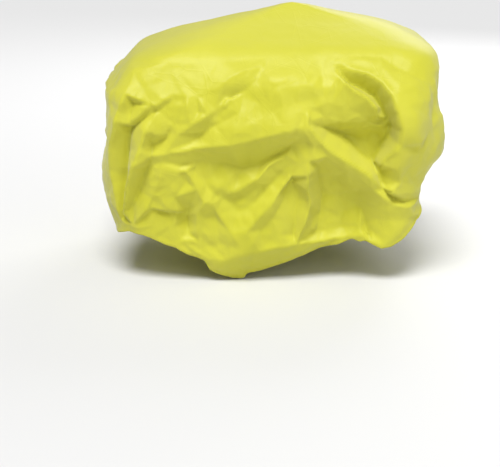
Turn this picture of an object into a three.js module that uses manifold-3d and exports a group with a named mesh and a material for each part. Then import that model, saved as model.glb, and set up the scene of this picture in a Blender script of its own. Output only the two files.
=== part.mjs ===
// A bicycle rack bag under its rain cover, as separate pieces. Millimetres.
// +X runs to the rear of the bicycle, +Y to its far side and +Z up.
// The origin is the middle of the face that lies on the rack.
import * as THREE from "three";
import { mergeVertices } from "three/addons/utils/BufferGeometryUtils.js";
import Module from "manifold-3d";

const wasm = await Module();
wasm.setup();

// Driving dimensions.
const GAP = 0.3; // left between pieces that touch
const CORNER = 34; // radius of the bag's upright corners in plan

const BAG = {
  halfLengthBase: 142,
  halfLengthTop: 150,
  halfWidthBase: 88,
  halfWidthTop: 98,
  floor: 2.8,
  rim: 149.7,
  wall: 2,
};
const MAT = { length: 272, width: 108, thick: 2.5 };
const BOARD = { inset: 12, thick: 3 };
const LINER = { wall: 4, rim: 148 };
const DIVIDER = { halfWidth: 76, low: 13, high: 133, thick: 6, corner: 14 };
const LID = { low: 150.4, top: 192, wall: 2, foam: 4 };
// The net under the lid stops short of its near edge, which is the pocket's mouth.
const NET = { halfLength: 146, halfWidth: 87, shift: 7, thick: 1.2, z: 150.5 };
const ZIP = { thick: 1.2, lower: [142, 149.6], upper: [150.8, 158], z: 150.2 };
const PIPING = { radius: 1.6, lidZ: 160, baseZ: 14 };
const HANDLE = { x: 20, halfSpan: 72, halfArch: 28, ramp: 20, width: 25, thick: 2.2, under: 208.5 };
const GRIP = { length: 44, width: 29, height: 5.6 };
const PATCH = { length: 22, width: 29, thick: 1.2 };
const POCKET = { front: -110, rear: 40, outer: 111, low: 14, high: 118, wall: 2 };
const POCKET_MOUTH = { x: -35, y: 103.5, length: 116, width: 5 };
const REFLECTOR = { thick: 0.6, height: 12, sideLength: 110, sideZ: 62, rearLength: 90, rearZ: 62 };
const STRAP = { x: 92, y: 75, width: 25, thick: 2, halfGapY: 16, top: 2.4, bottom: -18 };
const SLIDER = { length: 11, nose: 8, tail: 5, thick: 2.6, bailHalf: 3.5, bailWidth: 2 };
const TAB = { pivot: 3.7, length: 15, width: 7, thick: 1.2 };
const SLIDER_X = 8.5; // the two main sliders meet this far either side of the middle
const DRING = { z: 110, halfWidth: 11, drop: 14, wire: 1.4, hole: 2, barrel: 3.3 };
const DRING_TAB = { top: 134, width: 17, thick: 1.5 };
const COVER = { thick: 1.2, crown: 220, hemDepth: 8 };
const HEM = { halfThick: 2.5, slot: 1.5, floor: 1, height: 7.6, cord: 1.2 };

// How the cover's outline grows from the hem to the crown. Below the first z the wall runs straight to the hem.
const COVER_LEVELS = [
  { z: 25, front: -178, rear: 165, side: 124, corner: 55 },
  { z: 60, front: -182, rear: 173, side: 126, corner: 55 },
  { z: 100, front: -181, rear: 182, side: 127, corner: 55 },
  { z: 140, front: -180, rear: 180, side: 126, corner: 55 },
  { z: 165, front: -166, rear: 174, side: 118, corner: 52 },
  { z: 181, front: -150, rear: 163, side: 104, corner: 52 },
  { z: 193, front: -130, rear: 145, side: 91, corner: 46 },
  { z: 203, front: -96, rear: 116, side: 72, corner: 42 },
  { z: 214, front: -46, rear: 80, side: 38, corner: 30 },
  { z: 222, front: -6, rear: 48, side: 18, corner: 14 },
];
const COVER_HEM = { front: -168, rear: 162, side: 122, corner: 48 };
// Height of the hem along each side, front to rear: [x, z].
const HEM_NEAR = [[-168, -4], [-140, -12], [-93, -36], [-34, -58], [20, -34], [62, -22], [120, -22], [162, 4]];
const HEM_FAR = [[-168, -4], [-90, -16], [0, -26], [90, -18], [162, 4]];

const COLOURS = {
  cover: 0xd8dc3a,
  shell: 0x1d1e20,
  lining: 0x6d7073,
  foam: 0x3a3c3f,
  board: 0x2b2b2b,
  rubber: 0x151515,
  webbing: 0x18191b,
  zip: 0x101112,
  metal: 0x8d9094,
  reflective: 0xb9bcc0,
  mesh: 0x303234,
};
const material = (colour, roughness = 0.85, metalness = 0) =>
  new THREE.MeshStandardMaterial({ color: COLOURS[colour], roughness, metalness });
const FABRIC = material("shell", 0.8);
const WEBBING = material("webbing", 0.9);
const METAL = material("metal", 0.4, 0.9);

const root = new THREE.Group();

// Adds a named mesh to a group, by default the whole object's.
function add(name, geometry, look, group = root) {
  const mesh = new THREE.Mesh(geometry, look);
  mesh.name = name;
  group.add(mesh);
  return mesh;
}

// A value read from a list of [position, value] pairs, smoothly between them.
function along(pairs, at) {
  if (at <= pairs[0][0]) return pairs[0][1];
  for (let i = 1; i < pairs.length; i++) {
    const [a, low] = pairs[i - 1];
    const [b, high] = pairs[i];
    if (at <= b) return low + (high - low) * THREE.MathUtils.smoothstep(at, a, b);
  }
  return pairs[pairs.length - 1][1];
}

// A rounded rectangle seen from above, anticlockwise from its far front corner:
// points with the outward normal at each. The ends and the long sides may be cut into steps.
function outline({ front, rear, side, corner }, arcSteps = 4, endSteps = 1, longSteps = 1) {
  const r = Math.min(corner, side, (rear - front) / 2);
  const centres = [
    [front + r, side - r, 90],
    [front + r, r - side, 180],
    [rear - r, r - side, 270],
    [rear - r, side - r, 360],
  ];
  const points = [];
  centres.forEach(([cx, cy, from], i) => {
    for (let k = 0; k <= arcSteps; k++) {
      const angle = THREE.MathUtils.degToRad(from + (90 * k) / arcSteps);
      const normal = new THREE.Vector2(Math.cos(angle), Math.sin(angle));
      points.push({ x: cx + r * normal.x, y: cy + r * normal.y, normal });
    }
    const here = points[points.length - 1];
    const [nx, ny] = centres[(i + 1) % 4];
    const there = { x: nx + r * here.normal.x, y: ny + r * here.normal.y };
    const steps = i % 2 ? longSteps : endSteps;
    for (let k = 1; k < steps; k++) {
      const t = k / steps;
      points.push({
        x: here.x + (there.x - here.x) * t,
        y: here.y + (there.y - here.y) * t,
        normal: here.normal,
      });
    }
  });
  return points;
}

// The bag's own outline at a height, moved in by inset.
function bagOutline(z, inset = 0, corner = CORNER) {
  const t = THREE.MathUtils.clamp((z - BAG.floor) / (BAG.rim - BAG.floor), 0, 1);
  const halfLength = THREE.MathUtils.lerp(BAG.halfLengthBase, BAG.halfLengthTop, t) - inset;
  const halfWidth = THREE.MathUtils.lerp(BAG.halfWidthBase, BAG.halfWidthTop, t) - inset;
  return { front: -halfLength, rear: halfLength, side: halfWidth, corner: Math.max(corner - inset, 6) };
}

const ringAt = (shape, z, ...steps) => outline(shape, ...steps).map((p) => new THREE.Vector3(p.x, p.y, z));
const bagRing = (z, inset = 0, corner = CORNER) => ringAt(bagOutline(z, inset, corner), z);

// Turns a closed geometry so that its faces point out.
function facingOut(geometry) {
  const p = geometry.getAttribute("position");
  const index = geometry.index.array;
  const [a, b, c] = [new THREE.Vector3(), new THREE.Vector3(), new THREE.Vector3()];
  let volume = 0;
  for (let i = 0; i < index.length; i += 3) {
    a.fromBufferAttribute(p, index[i]);
    b.fromBufferAttribute(p, index[i + 1]);
    c.fromBufferAttribute(p, index[i + 2]);
    volume += a.dot(b.cross(c));
  }
  if (volume < 0)
    for (let i = 0; i < index.length; i += 3) [index[i + 1], index[i + 2]] = [index[i + 2], index[i + 1]];
  geometry.computeVertexNormals();
  return geometry;
}

// A skin through rings of equal count. Its two ends are filled, or with loop the last ring meets the first.
function loft(rings, loop = false) {
  const n = rings[0].length;
  const points = rings.flat();
  const index = [];
  const joins = loop ? rings.length : rings.length - 1;
  for (let i = 0; i < joins; i++)
    for (let j = 0; j < n; j++) {
      const here = i * n;
      const next = ((i + 1) % rings.length) * n;
      const k = (j + 1) % n;
      index.push(here + j, here + k, next + k, here + j, next + k, next + j);
    }
  if (!loop)
    for (const [ring, flip] of [[0, true], [rings.length - 1, false]]) {
      const middle = rings[ring].reduce((sum, p) => sum.add(p), new THREE.Vector3()).divideScalar(n);
      const centre = points.push(middle) - 1;
      for (let j = 0; j < n; j++) {
        const [a, b] = [ring * n + j, ring * n + ((j + 1) % n)];
        index.push(centre, ...(flip ? [b, a] : [a, b]));
      }
    }
  const geometry = new THREE.BufferGeometry().setFromPoints(points);
  geometry.setIndex(index);
  return facingOut(geometry);
}

// A section of [out, up] points carried along a path of { x, y, z, normal }.
const sweep = (path, section, loop) =>
  loft(
    path.map((p) => section.map(([out, up]) => new THREE.Vector3(p.x + p.normal.x * out, p.y + p.normal.y * out, p.z + up))),
    loop,
  );
const rectangle = (out0, out1, up0, up1) => [[out0, up0], [out1, up0], [out1, up1], [out0, up1]];
const round = (radius, out = 0, up = 0, sides = 8) =>
  Array.from({ length: sides }, (_, i) => {
    const angle = (2 * Math.PI * i) / sides;
    return [out + radius * Math.cos(angle), up + radius * Math.sin(angle)];
  });

// A flat shape pushed along Z and centred on it.
function slab(shape, thick, curveSegments = 4) {
  const geometry = new THREE.ExtrudeGeometry(shape, { depth: thick, bevelEnabled: false, curveSegments });
  return geometry.translate(0, 0, -thick / 2);
}

function roundedRect(width, height, radius, Path = THREE.Shape) {
  const [w, h] = [width / 2, height / 2];
  const path = new Path();
  path.absarc(w - radius, h - radius, radius, 0, Math.PI / 2);
  path.absarc(radius - w, h - radius, radius, Math.PI / 2, Math.PI);
  path.absarc(radius - w, radius - h, radius, Math.PI, 1.5 * Math.PI);
  path.absarc(w - radius, radius - h, radius, 1.5 * Math.PI, 2 * Math.PI);
  path.closePath();
  return path;
}

// A geometry as a manifold-3d solid, and back.
function solid(geometry) {
  const bare = geometry.index ? geometry.toNonIndexed() : geometry.clone();
  const merged = mergeVertices(new THREE.BufferGeometry().setAttribute("position", bare.getAttribute("position")), 1e-4);
  return new wasm.Manifold(
    new wasm.Mesh({
      numProp: 3,
      vertProperties: merged.getAttribute("position").array,
      triVerts: new Uint32Array(merged.index.array),
    }),
  );
}
function geometryOf(made) {
  const mesh = made.getMesh();
  const geometry = new THREE.BufferGeometry();
  geometry.setAttribute("position", new THREE.BufferAttribute(new Float32Array(mesh.vertProperties), 3));
  geometry.setIndex(new THREE.BufferAttribute(new Uint32Array(mesh.triVerts), 1));
  geometry.computeVertexNormals();
  return geometry;
}

// The tub: shell, base board, padded liner and rubber mat.
function makeTub() {
  const foot = BAG.floor;
  const inside = foot + BAG.wall;
  add(
    "tub_shell",
    loft([
      bagRing(foot, 8),
      bagRing(9),
      bagRing(BAG.rim),
      bagRing(BAG.rim, BAG.wall),
      bagRing(11, BAG.wall),
      bagRing(inside, 10),
    ]),
    FABRIC,
  );
  const board = inside + GAP;
  add("base_board", loft([bagRing(board, BOARD.inset), bagRing(board + BOARD.thick, BOARD.inset)]), material("board", 0.6));
  const pad = board + BOARD.thick + GAP;
  const skin = BAG.wall + GAP + 0.1;
  add(
    "foam_liner",
    loft([
      bagRing(pad, 8),
      bagRing(pad + 6, skin),
      bagRing(LINER.rim, skin),
      bagRing(LINER.rim, skin + LINER.wall),
      bagRing(pad + 12, skin + LINER.wall),
      bagRing(pad + LINER.wall, 14),
    ]),
    material("lining"),
  );
  const mat = slab(roundedRect(MAT.length, MAT.width, 18), MAT.thick);
  add("grip_mat", mat, material("rubber", 0.95)).position.z = MAT.thick / 2;
}

// The padded divider that slides along the main compartment.
function makeDivider() {
  const { halfWidth, low, high, thick, corner } = DIVIDER;
  const plate = slab(roundedRect(2 * halfWidth, high - low, corner), thick);
  plate.rotateX(Math.PI / 2).rotateZ(Math.PI / 2);
  add("divider", plate, material("lining")).position.z = (low + high) / 2;
}

// Part of the bag's outline: both ends and the near side, where the main zip runs.
function zipPath(z, offset) {
  const shape = bagOutline(z);
  const stop = shape.side - shape.corner;
  return outline(shape)
    .filter((p) => p.y <= stop + 1e-6)
    .map((p) => ({ x: p.x + p.normal.x * offset, y: p.y + p.normal.y * offset, z: 0, normal: p.normal }));
}

function makeMainZip() {
  const look = material("zip", 0.7);
  const [low, high] = ZIP.lower;
  add("main_zip_lower", sweep(zipPath(BAG.rim, GAP), rectangle(0, ZIP.thick, low, high), false), look);
  add("main_zip_upper", sweep(zipPath(BAG.rim, GAP), rectangle(0, ZIP.thick, ...ZIP.upper), false), look);
  const hinge = new THREE.BoxGeometry(2 * (BAG.halfLengthTop - CORNER), 1, 20);
  add("lid_hinge_strip", hinge, FABRIC).position.set(0, BAG.halfWidthTop + GAP + 0.5, BAG.rim - 10.2);
}

// The domed lid: each row is [z, inset] of its outer skin.
const DOME = [[LID.low, 0], [162, 0.5], [175, 8], [184, 26], [189, 52], [LID.top, 80]];

// A layer of the lid between two depths under its outer skin, open at the bottom.
function domeLayer(from, to, bottom) {
  const skin = (depth) =>
    DOME.map(([z, inset], i) => bagRing(i ? z - depth : bottom, inset + depth, CORNER + inset));
  return loft([...skin(from).reverse(), ...skin(to)]);
}

function makeLid() {
  add("lid_shell", domeLayer(0, LID.wall, LID.low), FABRIC);
  const start = LID.wall + GAP + 0.1;
  add("lid_foam", domeLayer(start, start + LID.foam, NET.z + NET.thick + GAP), material("foam"));
  const net = { front: -NET.halfLength, rear: NET.halfLength, side: NET.halfWidth, corner: CORNER };
  const panel = (z) => ringAt(net, z).map((p) => p.setY(p.y + NET.shift));
  add("lid_mesh_pocket", loft([panel(NET.z), panel(NET.z + NET.thick)]), material("mesh"));
  const shoulder = outline(bagOutline(BAG.rim, 2)).map((p) => ({ ...p, z: PIPING.lidZ }));
  add("lid_piping", sweep(shoulder, round(PIPING.radius, 3.6, 0, 6), true), material("reflective", 0.4));
  const skirt = outline(bagOutline(PIPING.baseZ)).map((p) => ({ ...p, z: PIPING.baseZ }));
  const frontEnd = skirt.filter((p) => p.x < 0);
  const rearEnd = skirt.filter((p) => p.x > 0);
  const cord = round(PIPING.radius, PIPING.radius + GAP, 0, 6);
  add("base_piping_front", sweep(frontEnd, cord, false), material("reflective", 0.4));
  add("base_piping_rear", sweep(rearEnd, cord, false), material("reflective", 0.4));
}

// The carry handle: webbing that arches over the lid, with a grip round it and a patch on each foot.
function makeHandle() {
  const foot = LID.top + GAP;
  const { halfSpan, halfArch, ramp, thick, under, width, x } = HANDLE;
  const lower = [[-halfSpan, foot], [-halfArch - ramp, foot], [-halfArch, under], [halfArch, under], [halfArch + ramp, foot], [halfSpan, foot]];
  const upper = lower.map(([px, pz]) => [px, pz + thick]).reverse();
  const profile = new THREE.Shape([...lower, ...upper].map((p) => new THREE.Vector2(...p)));
  const strap = slab(profile, width).rotateX(Math.PI / 2);
  add("handle_webbing", strap, WEBBING).position.x = x;

  const sleeve = roundedRect(GRIP.width, GRIP.height, 2.4);
  sleeve.holes.push(roundedRect(width + 2 * GAP, thick + 2 * GAP, 0.6, THREE.Path));
  const grip = slab(sleeve, GRIP.length).rotateX(Math.PI / 2).rotateZ(Math.PI / 2);
  add("handle_grip", grip, material("rubber", 0.9)).position.set(x, 0, under + thick / 2);

  for (const [name, way] of [["front", -1], ["rear", 1]]) {
    const patch = slab(roundedRect(PATCH.length, PATCH.width, 2), PATCH.thick);
    const at = x + way * (halfSpan - PATCH.length / 2 + 1);
    add(`handle_patch_${name}`, patch, FABRIC).position.set(at, 0, foot + thick + GAP + PATCH.thick / 2);
  }
}

// A side pocket: a shell open against the tub wall, with a zip along its top. way is -1 near, 1 far.
function makePocket(name, way) {
  const { front, rear, outer, low, high, wall } = POCKET;
  const inward = 70;
  const block = (z, inset) => {
    const shape = { front: front + inset, rear: rear - inset, side: (outer - inward) / 2 - inset, corner: 16 };
    return ringAt(shape, z).map((p) => p.setY(way * (p.y + (outer + inward) / 2)));
  };
  const body = solid(loft([block(low, 6), block(low + 8, 0), block(high - 3, 0), block(high, 3)]));
  const room = solid(
    loft([block(low + wall, 8), block(low + 9, wall), block(high - 4, wall), block(high - wall, 4)]),
  );
  const tub = solid(loft([bagRing(0, -GAP), bagRing(BAG.rim, -GAP)]));
  const { x, y, length, width } = POCKET_MOUTH;
  const mouth = solid(new THREE.BoxGeometry(length, width, 12).translate(x, way * y, high));
  add(`side_pocket_${name}`, geometryOf(body.subtract(room).subtract(tub).subtract(mouth)), FABRIC);

  const chain = new THREE.BoxGeometry(length + 12, 9, ZIP.thick);
  add(`pocket_zip_${name}`, chain, material("zip", 0.7)).position.set(x, way * y, high + GAP + ZIP.thick / 2);
  const strip = new THREE.BoxGeometry(REFLECTOR.sideLength, REFLECTOR.thick, REFLECTOR.height);
  const face = way * (outer + GAP + REFLECTOR.thick / 2);
  add(`reflector_${name}`, strip, material("reflective", 0.35)).position.set(x, face, REFLECTOR.sideZ);
}

function makeRearReflector() {
  const strip = new THREE.BoxGeometry(REFLECTOR.thick, REFLECTOR.rearLength, REFLECTOR.height);
  const slope = Math.atan((BAG.halfLengthTop - BAG.halfLengthBase) / (BAG.rim - BAG.floor));
  const mesh = add("reflector_rear", strip, material("reflective", 0.35));
  mesh.position.set(bagOutline(REFLECTOR.rearZ).rear + GAP + REFLECTOR.thick / 2, 0, REFLECTOR.rearZ);
  mesh.rotation.y = slope;
}

// A hook-and-loop strap that goes round one rail of the rack.
function makeRackStrap(name, x, y) {
  const { width, thick, halfGapY, top, bottom } = STRAP;
  const height = top - bottom;
  const loop = roundedRect(2 * (halfGapY + thick), height, 6);
  loop.holes.push(roundedRect(2 * halfGapY, height - 2 * thick, 4, THREE.Path));
  const strap = slab(loop, width, 3).rotateX(Math.PI / 2).rotateZ(Math.PI / 2);
  add(name, strap, WEBBING).position.set(x, y, (top + bottom) / 2);
}

// A zip slider with its bail, lying on the chain: it runs along X and stands up along Z.
function sliderBody() {
  const { length, nose, tail, thick, bailHalf, bailWidth } = SLIDER;
  const plan = new THREE.Shape([
    new THREE.Vector2(-length / 2, -nose / 2),
    new THREE.Vector2(0, -nose / 2),
    new THREE.Vector2(length / 2, -tail / 2),
    new THREE.Vector2(length / 2, tail / 2),
    new THREE.Vector2(0, nose / 2),
    new THREE.Vector2(-length / 2, nose / 2),
  ]);
  const plate = slab(plan, thick).translate(0, 0, thick / 2);
  const arch = new THREE.Shape();
  arch.moveTo(-bailHalf, thick - 0.6);
  arch.lineTo(-bailHalf, thick + 2);
  arch.lineTo(-bailHalf + 1, thick + 3);
  arch.lineTo(bailHalf - 1, thick + 3);
  arch.lineTo(bailHalf, thick + 2);
  arch.lineTo(bailHalf, thick - 0.6);
  const inner = bailHalf - 1.2;
  arch.lineTo(inner, thick - 0.6);
  arch.lineTo(inner, thick + 2);
  arch.lineTo(-inner, thick + 2);
  arch.lineTo(-inner, thick - 0.6);
  const bail = slab(arch, bailWidth).rotateX(Math.PI / 2);
  return geometryOf(solid(plate).add(solid(bail)));
}

// Its pull tab, from the pivot at the origin out along X, with an eye that straddles the bail.
function pullTab() {
  const { length, width, thick } = TAB;
  const blade = new THREE.Shape();
  blade.moveTo(-thick / 2, -width / 2 + 1);
  blade.lineTo(length - 2, -width / 2);
  blade.lineTo(length, -width / 2 + 2);
  blade.lineTo(length, width / 2 - 2);
  blade.lineTo(length - 2, width / 2);
  blade.lineTo(-thick / 2, width / 2 - 1);
  blade.closePath();
  const eye = new THREE.Path();
  eye.moveTo(thick / 2, -1.5);
  eye.lineTo(thick / 2, 1.5);
  eye.lineTo(5, 1.5);
  eye.lineTo(5, -1.5);
  eye.closePath();
  blade.holes.push(eye);
  return slab(blade, thick);
}

// A slider and its tab in a group whose X is the way the zip opens and whose Z points off the fabric.
function placeSlider(name, position, opening, off) {
  const group = new THREE.Group();
  const across = new THREE.Vector3().crossVectors(off, opening);
  group.quaternion.setFromRotationMatrix(new THREE.Matrix4().makeBasis(opening, across, off));
  group.position.copy(position);
  root.add(group);
  add(`${name}_slider`, sliderBody(), METAL, group);
  add(`${name}_pull_tab`, pullTab(), METAL, group).position.z = TAB.pivot;
}

function makeSliders() {
  const near = new THREE.Vector3(0, -1, 0);
  const up = new THREE.Vector3(0, 0, 1);
  const face = -(BAG.halfWidthTop + ZIP.thick + 2 * GAP);
  const rearward = new THREE.Vector3(1, 0, 0);
  const forward = new THREE.Vector3(-1, 0, 0);
  placeSlider("main_front", new THREE.Vector3(-SLIDER_X, face, ZIP.z), forward, near);
  placeSlider("main_rear", new THREE.Vector3(SLIDER_X, face, ZIP.z), rearward, near);
  const rest = POCKET.high + ZIP.thick + 2 * GAP;
  const start = POCKET_MOUTH.x - POCKET_MOUTH.length / 2 + 1;
  placeSlider("pocket_near", new THREE.Vector3(start, -POCKET_MOUTH.y, rest), rearward, up);
  placeSlider("pocket_far", new THREE.Vector3(start, POCKET_MOUTH.y, rest), rearward, up);
}

// A D-ring for a shoulder strap and the webbing tab that holds it, on one end. way is -1 front, 1 rear.
function makeDRing(name, way) {
  const { z, halfWidth, drop, wire, hole, barrel } = DRING;
  const face = bagOutline(DRING_TAB.top).rear + GAP;
  const pivot = face + DRING_TAB.thick + hole;
  const plate = new THREE.BoxGeometry(DRING_TAB.thick, DRING_TAB.width, DRING_TAB.top - z);
  plate.translate(face + DRING_TAB.thick / 2, 0, (DRING_TAB.top + z) / 2);
  const ring = new THREE.Shape().absarc(0, 0, barrel, 0, 2 * Math.PI);
  const sleeve = slab(ring, DRING_TAB.width, 8).rotateX(Math.PI / 2).translate(pivot, 0, z);
  const bore = slab(new THREE.Shape().absarc(0, 0, hole, 0, 2 * Math.PI), 30, 8)
    .rotateX(Math.PI / 2)
    .translate(pivot, 0, z);
  const behind = new THREE.BoxGeometry(4, 30, 40).translate(face - 2, 0, z + 10);
  const tab = solid(plate).add(solid(sleeve)).subtract(solid(bore)).subtract(solid(behind));
  const wirePath = [new THREE.Vector3(0, halfWidth, 0), new THREE.Vector3(0, -halfWidth, 0)];
  const bends = 8;
  for (let i = 0; i <= bends; i++) {
    const angle = Math.PI + (Math.PI * i) / bends;
    wirePath.push(new THREE.Vector3(0, halfWidth * Math.cos(angle), -4 + (drop - 4) * Math.sin(angle)));
  }
  const rings = wirePath.map((p, i) => {
    const before = wirePath[(i + wirePath.length - 1) % wirePath.length];
    const after = wirePath[(i + 1) % wirePath.length];
    const arriving = p.clone().sub(before).normalize();
    const leaving = after.clone().sub(p).normalize();
    const along_ = arriving.clone().add(leaving).normalize();
    const side = new THREE.Vector3(1, 0, 0);
    const out = new THREE.Vector3().crossVectors(along_, side);
    const mitre = 1 / Math.max(arriving.dot(along_), 0.5);
    return round(wire).map(([u, v]) => p.clone().addScaledVector(side, u).addScaledVector(out, v * mitre));
  });
  const group = new THREE.Group();
  if (way < 0) group.rotation.z = Math.PI;
  root.add(group);
  add(`d_ring_tab_${name}`, geometryOf(tab), WEBBING, group);
  add(`d_ring_${name}`, loft(rings, true), METAL, group).position.set(pivot, 0, z);
}

// The rain cover: a thin shell that widens from its hem and closes over the crown.
const COVER_STEPS = [5, 3, 8]; // steps round each corner, across each end and along each side

function hemPath() {
  return outline(COVER_HEM, ...COVER_STEPS).map((p) => {
    const share = THREE.MathUtils.smoothstep(p.y, -COVER_HEM.side * 0.8, COVER_HEM.side * 0.8);
    const z = THREE.MathUtils.lerp(along(HEM_NEAR, p.x), along(HEM_FAR, p.x), share);
    return { ...p, z };
  });
}

function coverSkin(depth) {
  const lowest = hemPath().map((p) => new THREE.Vector3(p.x - p.normal.x * depth, p.y - p.normal.y * depth, p.z + COVER.hemDepth));
  const rings = COVER_LEVELS.map((level, i) => {
    const shape = { ...level, front: level.front + depth, rear: level.rear - depth, side: level.side - depth };
    return ringAt(shape, level.z - (i > 3 ? depth : 0), ...COVER_STEPS);
  });
  return [lowest, ...rings];
}

function makeRainCover() {
  const look = material("cover", 0.6);
  add("rain_cover_shell", loft([...coverSkin(0).reverse(), ...coverSkin(COVER.thick)]), look);
  const middle = hemPath().map((p) => ({
    ...p,
    x: p.x - (p.normal.x * COVER.thick) / 2,
    y: p.y - (p.normal.y * COVER.thick) / 2,
  }));
  const { halfThick, slot, floor, height, cord } = HEM;
  const channel = [
    [-halfThick, 0], [halfThick, 0], [halfThick, height], [slot, height],
    [slot, floor], [-slot, floor], [-slot, height], [-halfThick, height],
  ];
  add("hem_channel", sweep(middle, channel, true), look);
  add("hem_elastic", sweep(middle, round(cord, 0, floor + GAP + cord + 0.2, 6), true), material("rubber", 0.9));
}

makeTub();
makeDivider();
makeMainZip();
makeLid();
makeHandle();
for (const [name, way] of [["near", -1], ["far", 1]]) {
  makePocket(name, way);
  makeRackStrap(`rack_strap_front_${name}`, -STRAP.x, way * STRAP.y);
  makeRackStrap(`rack_strap_rear_${name}`, STRAP.x, way * STRAP.y);
}
makeRearReflector();
makeSliders();
makeDRing("front", -1);
makeDRing("rear", 1);
makeRainCover();

export default root;
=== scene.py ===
# A bicycle rack bag under its hi-vis rain cover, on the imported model's frame.
# Lengths are written in millimetres and turned into metres where a mesh is made.
import math

import bmesh
import bpy
import numpy as np
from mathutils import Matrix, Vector, geometry, noise


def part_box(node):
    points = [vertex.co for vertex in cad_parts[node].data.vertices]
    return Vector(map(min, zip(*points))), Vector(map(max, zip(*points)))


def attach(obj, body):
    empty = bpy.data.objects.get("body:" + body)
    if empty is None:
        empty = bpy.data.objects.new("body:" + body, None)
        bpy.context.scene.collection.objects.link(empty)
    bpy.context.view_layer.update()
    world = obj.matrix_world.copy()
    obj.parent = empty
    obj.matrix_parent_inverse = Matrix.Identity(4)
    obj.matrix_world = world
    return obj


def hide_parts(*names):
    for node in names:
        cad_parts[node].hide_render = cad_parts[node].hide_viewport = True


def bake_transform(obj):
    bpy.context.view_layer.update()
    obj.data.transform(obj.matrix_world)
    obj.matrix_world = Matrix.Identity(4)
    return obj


MM = 0.001
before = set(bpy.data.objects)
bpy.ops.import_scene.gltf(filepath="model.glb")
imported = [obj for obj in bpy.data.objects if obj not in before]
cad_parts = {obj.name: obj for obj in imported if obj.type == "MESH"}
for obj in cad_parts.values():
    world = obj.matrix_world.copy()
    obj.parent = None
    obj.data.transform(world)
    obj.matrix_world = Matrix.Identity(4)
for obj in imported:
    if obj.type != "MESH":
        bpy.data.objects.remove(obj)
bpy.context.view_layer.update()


def link(name, data):
    """A new object in the scene that shows this data."""
    made = bpy.data.objects.new(name, data)
    bpy.context.scene.collection.objects.link(made)
    return made


# ---------------------------------------------------------------- material helpers

def set_inputs(tree, node, inputs):
    """Joins each named input of a node to a socket, or sets its value."""
    for name, value in inputs.items():
        if isinstance(value, bpy.types.NodeSocket):
            tree.links.new(value, node.inputs[name])
        else:
            node.inputs[name].default_value = value


def add_node(tree, kind, output, inputs, **settings):
    """A new node of that kind. Gives back one of its outputs."""
    node = tree.nodes.new("ShaderNode" + kind)
    for name, value in settings.items():
        setattr(node, name, value)
    set_inputs(tree, node, inputs)
    return node.outputs[output]


def start_material(name, colour, roughness, metallic=0.0):
    """A plain material, with its node tree and its shader."""
    material = bpy.data.materials.new(name)
    material.use_nodes = True
    tree = material.node_tree
    shader = tree.nodes["Principled BSDF"]
    set_inputs(tree, shader, {"Base Color": (*colour, 1), "Roughness": roughness, "Metallic": metallic})
    return material, tree, shader


def object_place(tree, turn=(0, 0, 0), scale=(1, 1, 1)):
    """Places on the object, turned and scaled."""
    place = tree.nodes.new("ShaderNodeTexCoord").outputs["Object"]
    return add_node(tree, "Mapping", "Vector", {"Vector": place, "Rotation": turn, "Scale": scale})


def cloudy(tree, vector, scale, detail, kind="FBM"):
    inputs = {"Vector": vector, "Scale": scale, "Detail": detail}
    return add_node(tree, "TexNoise", "Fac", inputs, noise_type=kind)


def maths(tree, operation, a, b=0.0, c=0.0):
    """The result of a maths node on values that are each a socket or a number."""
    return add_node(tree, "Math", 0, {0: a, 1: b, 2: c}, operation=operation)


def weigh(tree, *parts, start=0.0):
    """The sum of start and of each (socket, weight)."""
    total = start
    for socket, weight in parts:
        total = maths(tree, "MULTIPLY_ADD", socket, weight, total)
    return total


def colour_ramp(tree, value, stops):
    """A colour ramp through (position, colour) stops."""
    ramp = tree.nodes.new("ShaderNodeValToRGB")
    elements = ramp.color_ramp.elements
    while len(elements) < len(stops):
        elements.new(0.5)
    for element, (position, colour) in zip(elements, stops):
        element.position = position
        element.color = (*colour, 1)
    tree.links.new(value, ramp.inputs["Fac"])
    return ramp.outputs["Color"]


def add_bump(tree, height, strength, distance, **under):
    """Relief of that height in metres, over any Normal given."""
    inputs = {"Height": height, "Strength": strength, "Distance": distance, **under}
    return add_node(tree, "Bump", "Normal", inputs)


def fold_lines(tree, scale, width, turn=(0, 0, 0)):
    """Thin straight lines that part the surface into cells: 1 on a line, 0 away from it."""
    inputs = {"Vector": object_place(tree, turn), "Scale": scale}
    distance = add_node(tree, "TexVoronoi", "Distance", inputs, feature="DISTANCE_TO_EDGE")
    return maths(tree, "SUBTRACT", 1, maths(tree, "MINIMUM", maths(tree, "DIVIDE", distance, width), 1))


# ---------------------------------------------------------------- the materials

def woven_material(name, colours, pitch, relief, roughness, turn, sheen):
    """Threads over and under each other, pitch mm apart, in a dark, a middle and a light colour."""
    material, tree, shader = start_material(name, colours[1], roughness)
    scale = math.pi / (pitch * MM)
    threads = tree.nodes.new("ShaderNodeSeparateXYZ")
    set_inputs(tree, threads, {"Vector": object_place(tree, (turn, 0, turn), (scale, scale, scale))})
    x, y, z = (maths(tree, "SINE", thread) for thread in threads.outputs)
    weave = weigh(tree, *((maths(tree, "MULTIPLY", a, b), 1) for a, b in ((x, z), (y, z), (x, y))))
    spot = object_place(tree)
    cloud = cloudy(tree, spot, 14, 6)
    tone = weigh(tree, (cloud, 0.7), (cloudy(tree, spot, 1300, 2), 0.3), (weave, 0.07))
    normal = add_bump(tree, weave, 0.5, relief * MM)
    set_inputs(tree, shader, {
        "Base Color": colour_ramp(tree, tone, list(zip((0.3, 0.5, 0.75), colours))),
        "Roughness": weigh(tree, (cloud, 0.24), start=roughness - 0.12),
        "Normal": add_bump(tree, cloudy(tree, spot, 60, 4), 0.25, 0.0008, Normal=normal),
        "Sheen Weight": sheen, "Sheen Roughness": 0.5})
    return material


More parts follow.
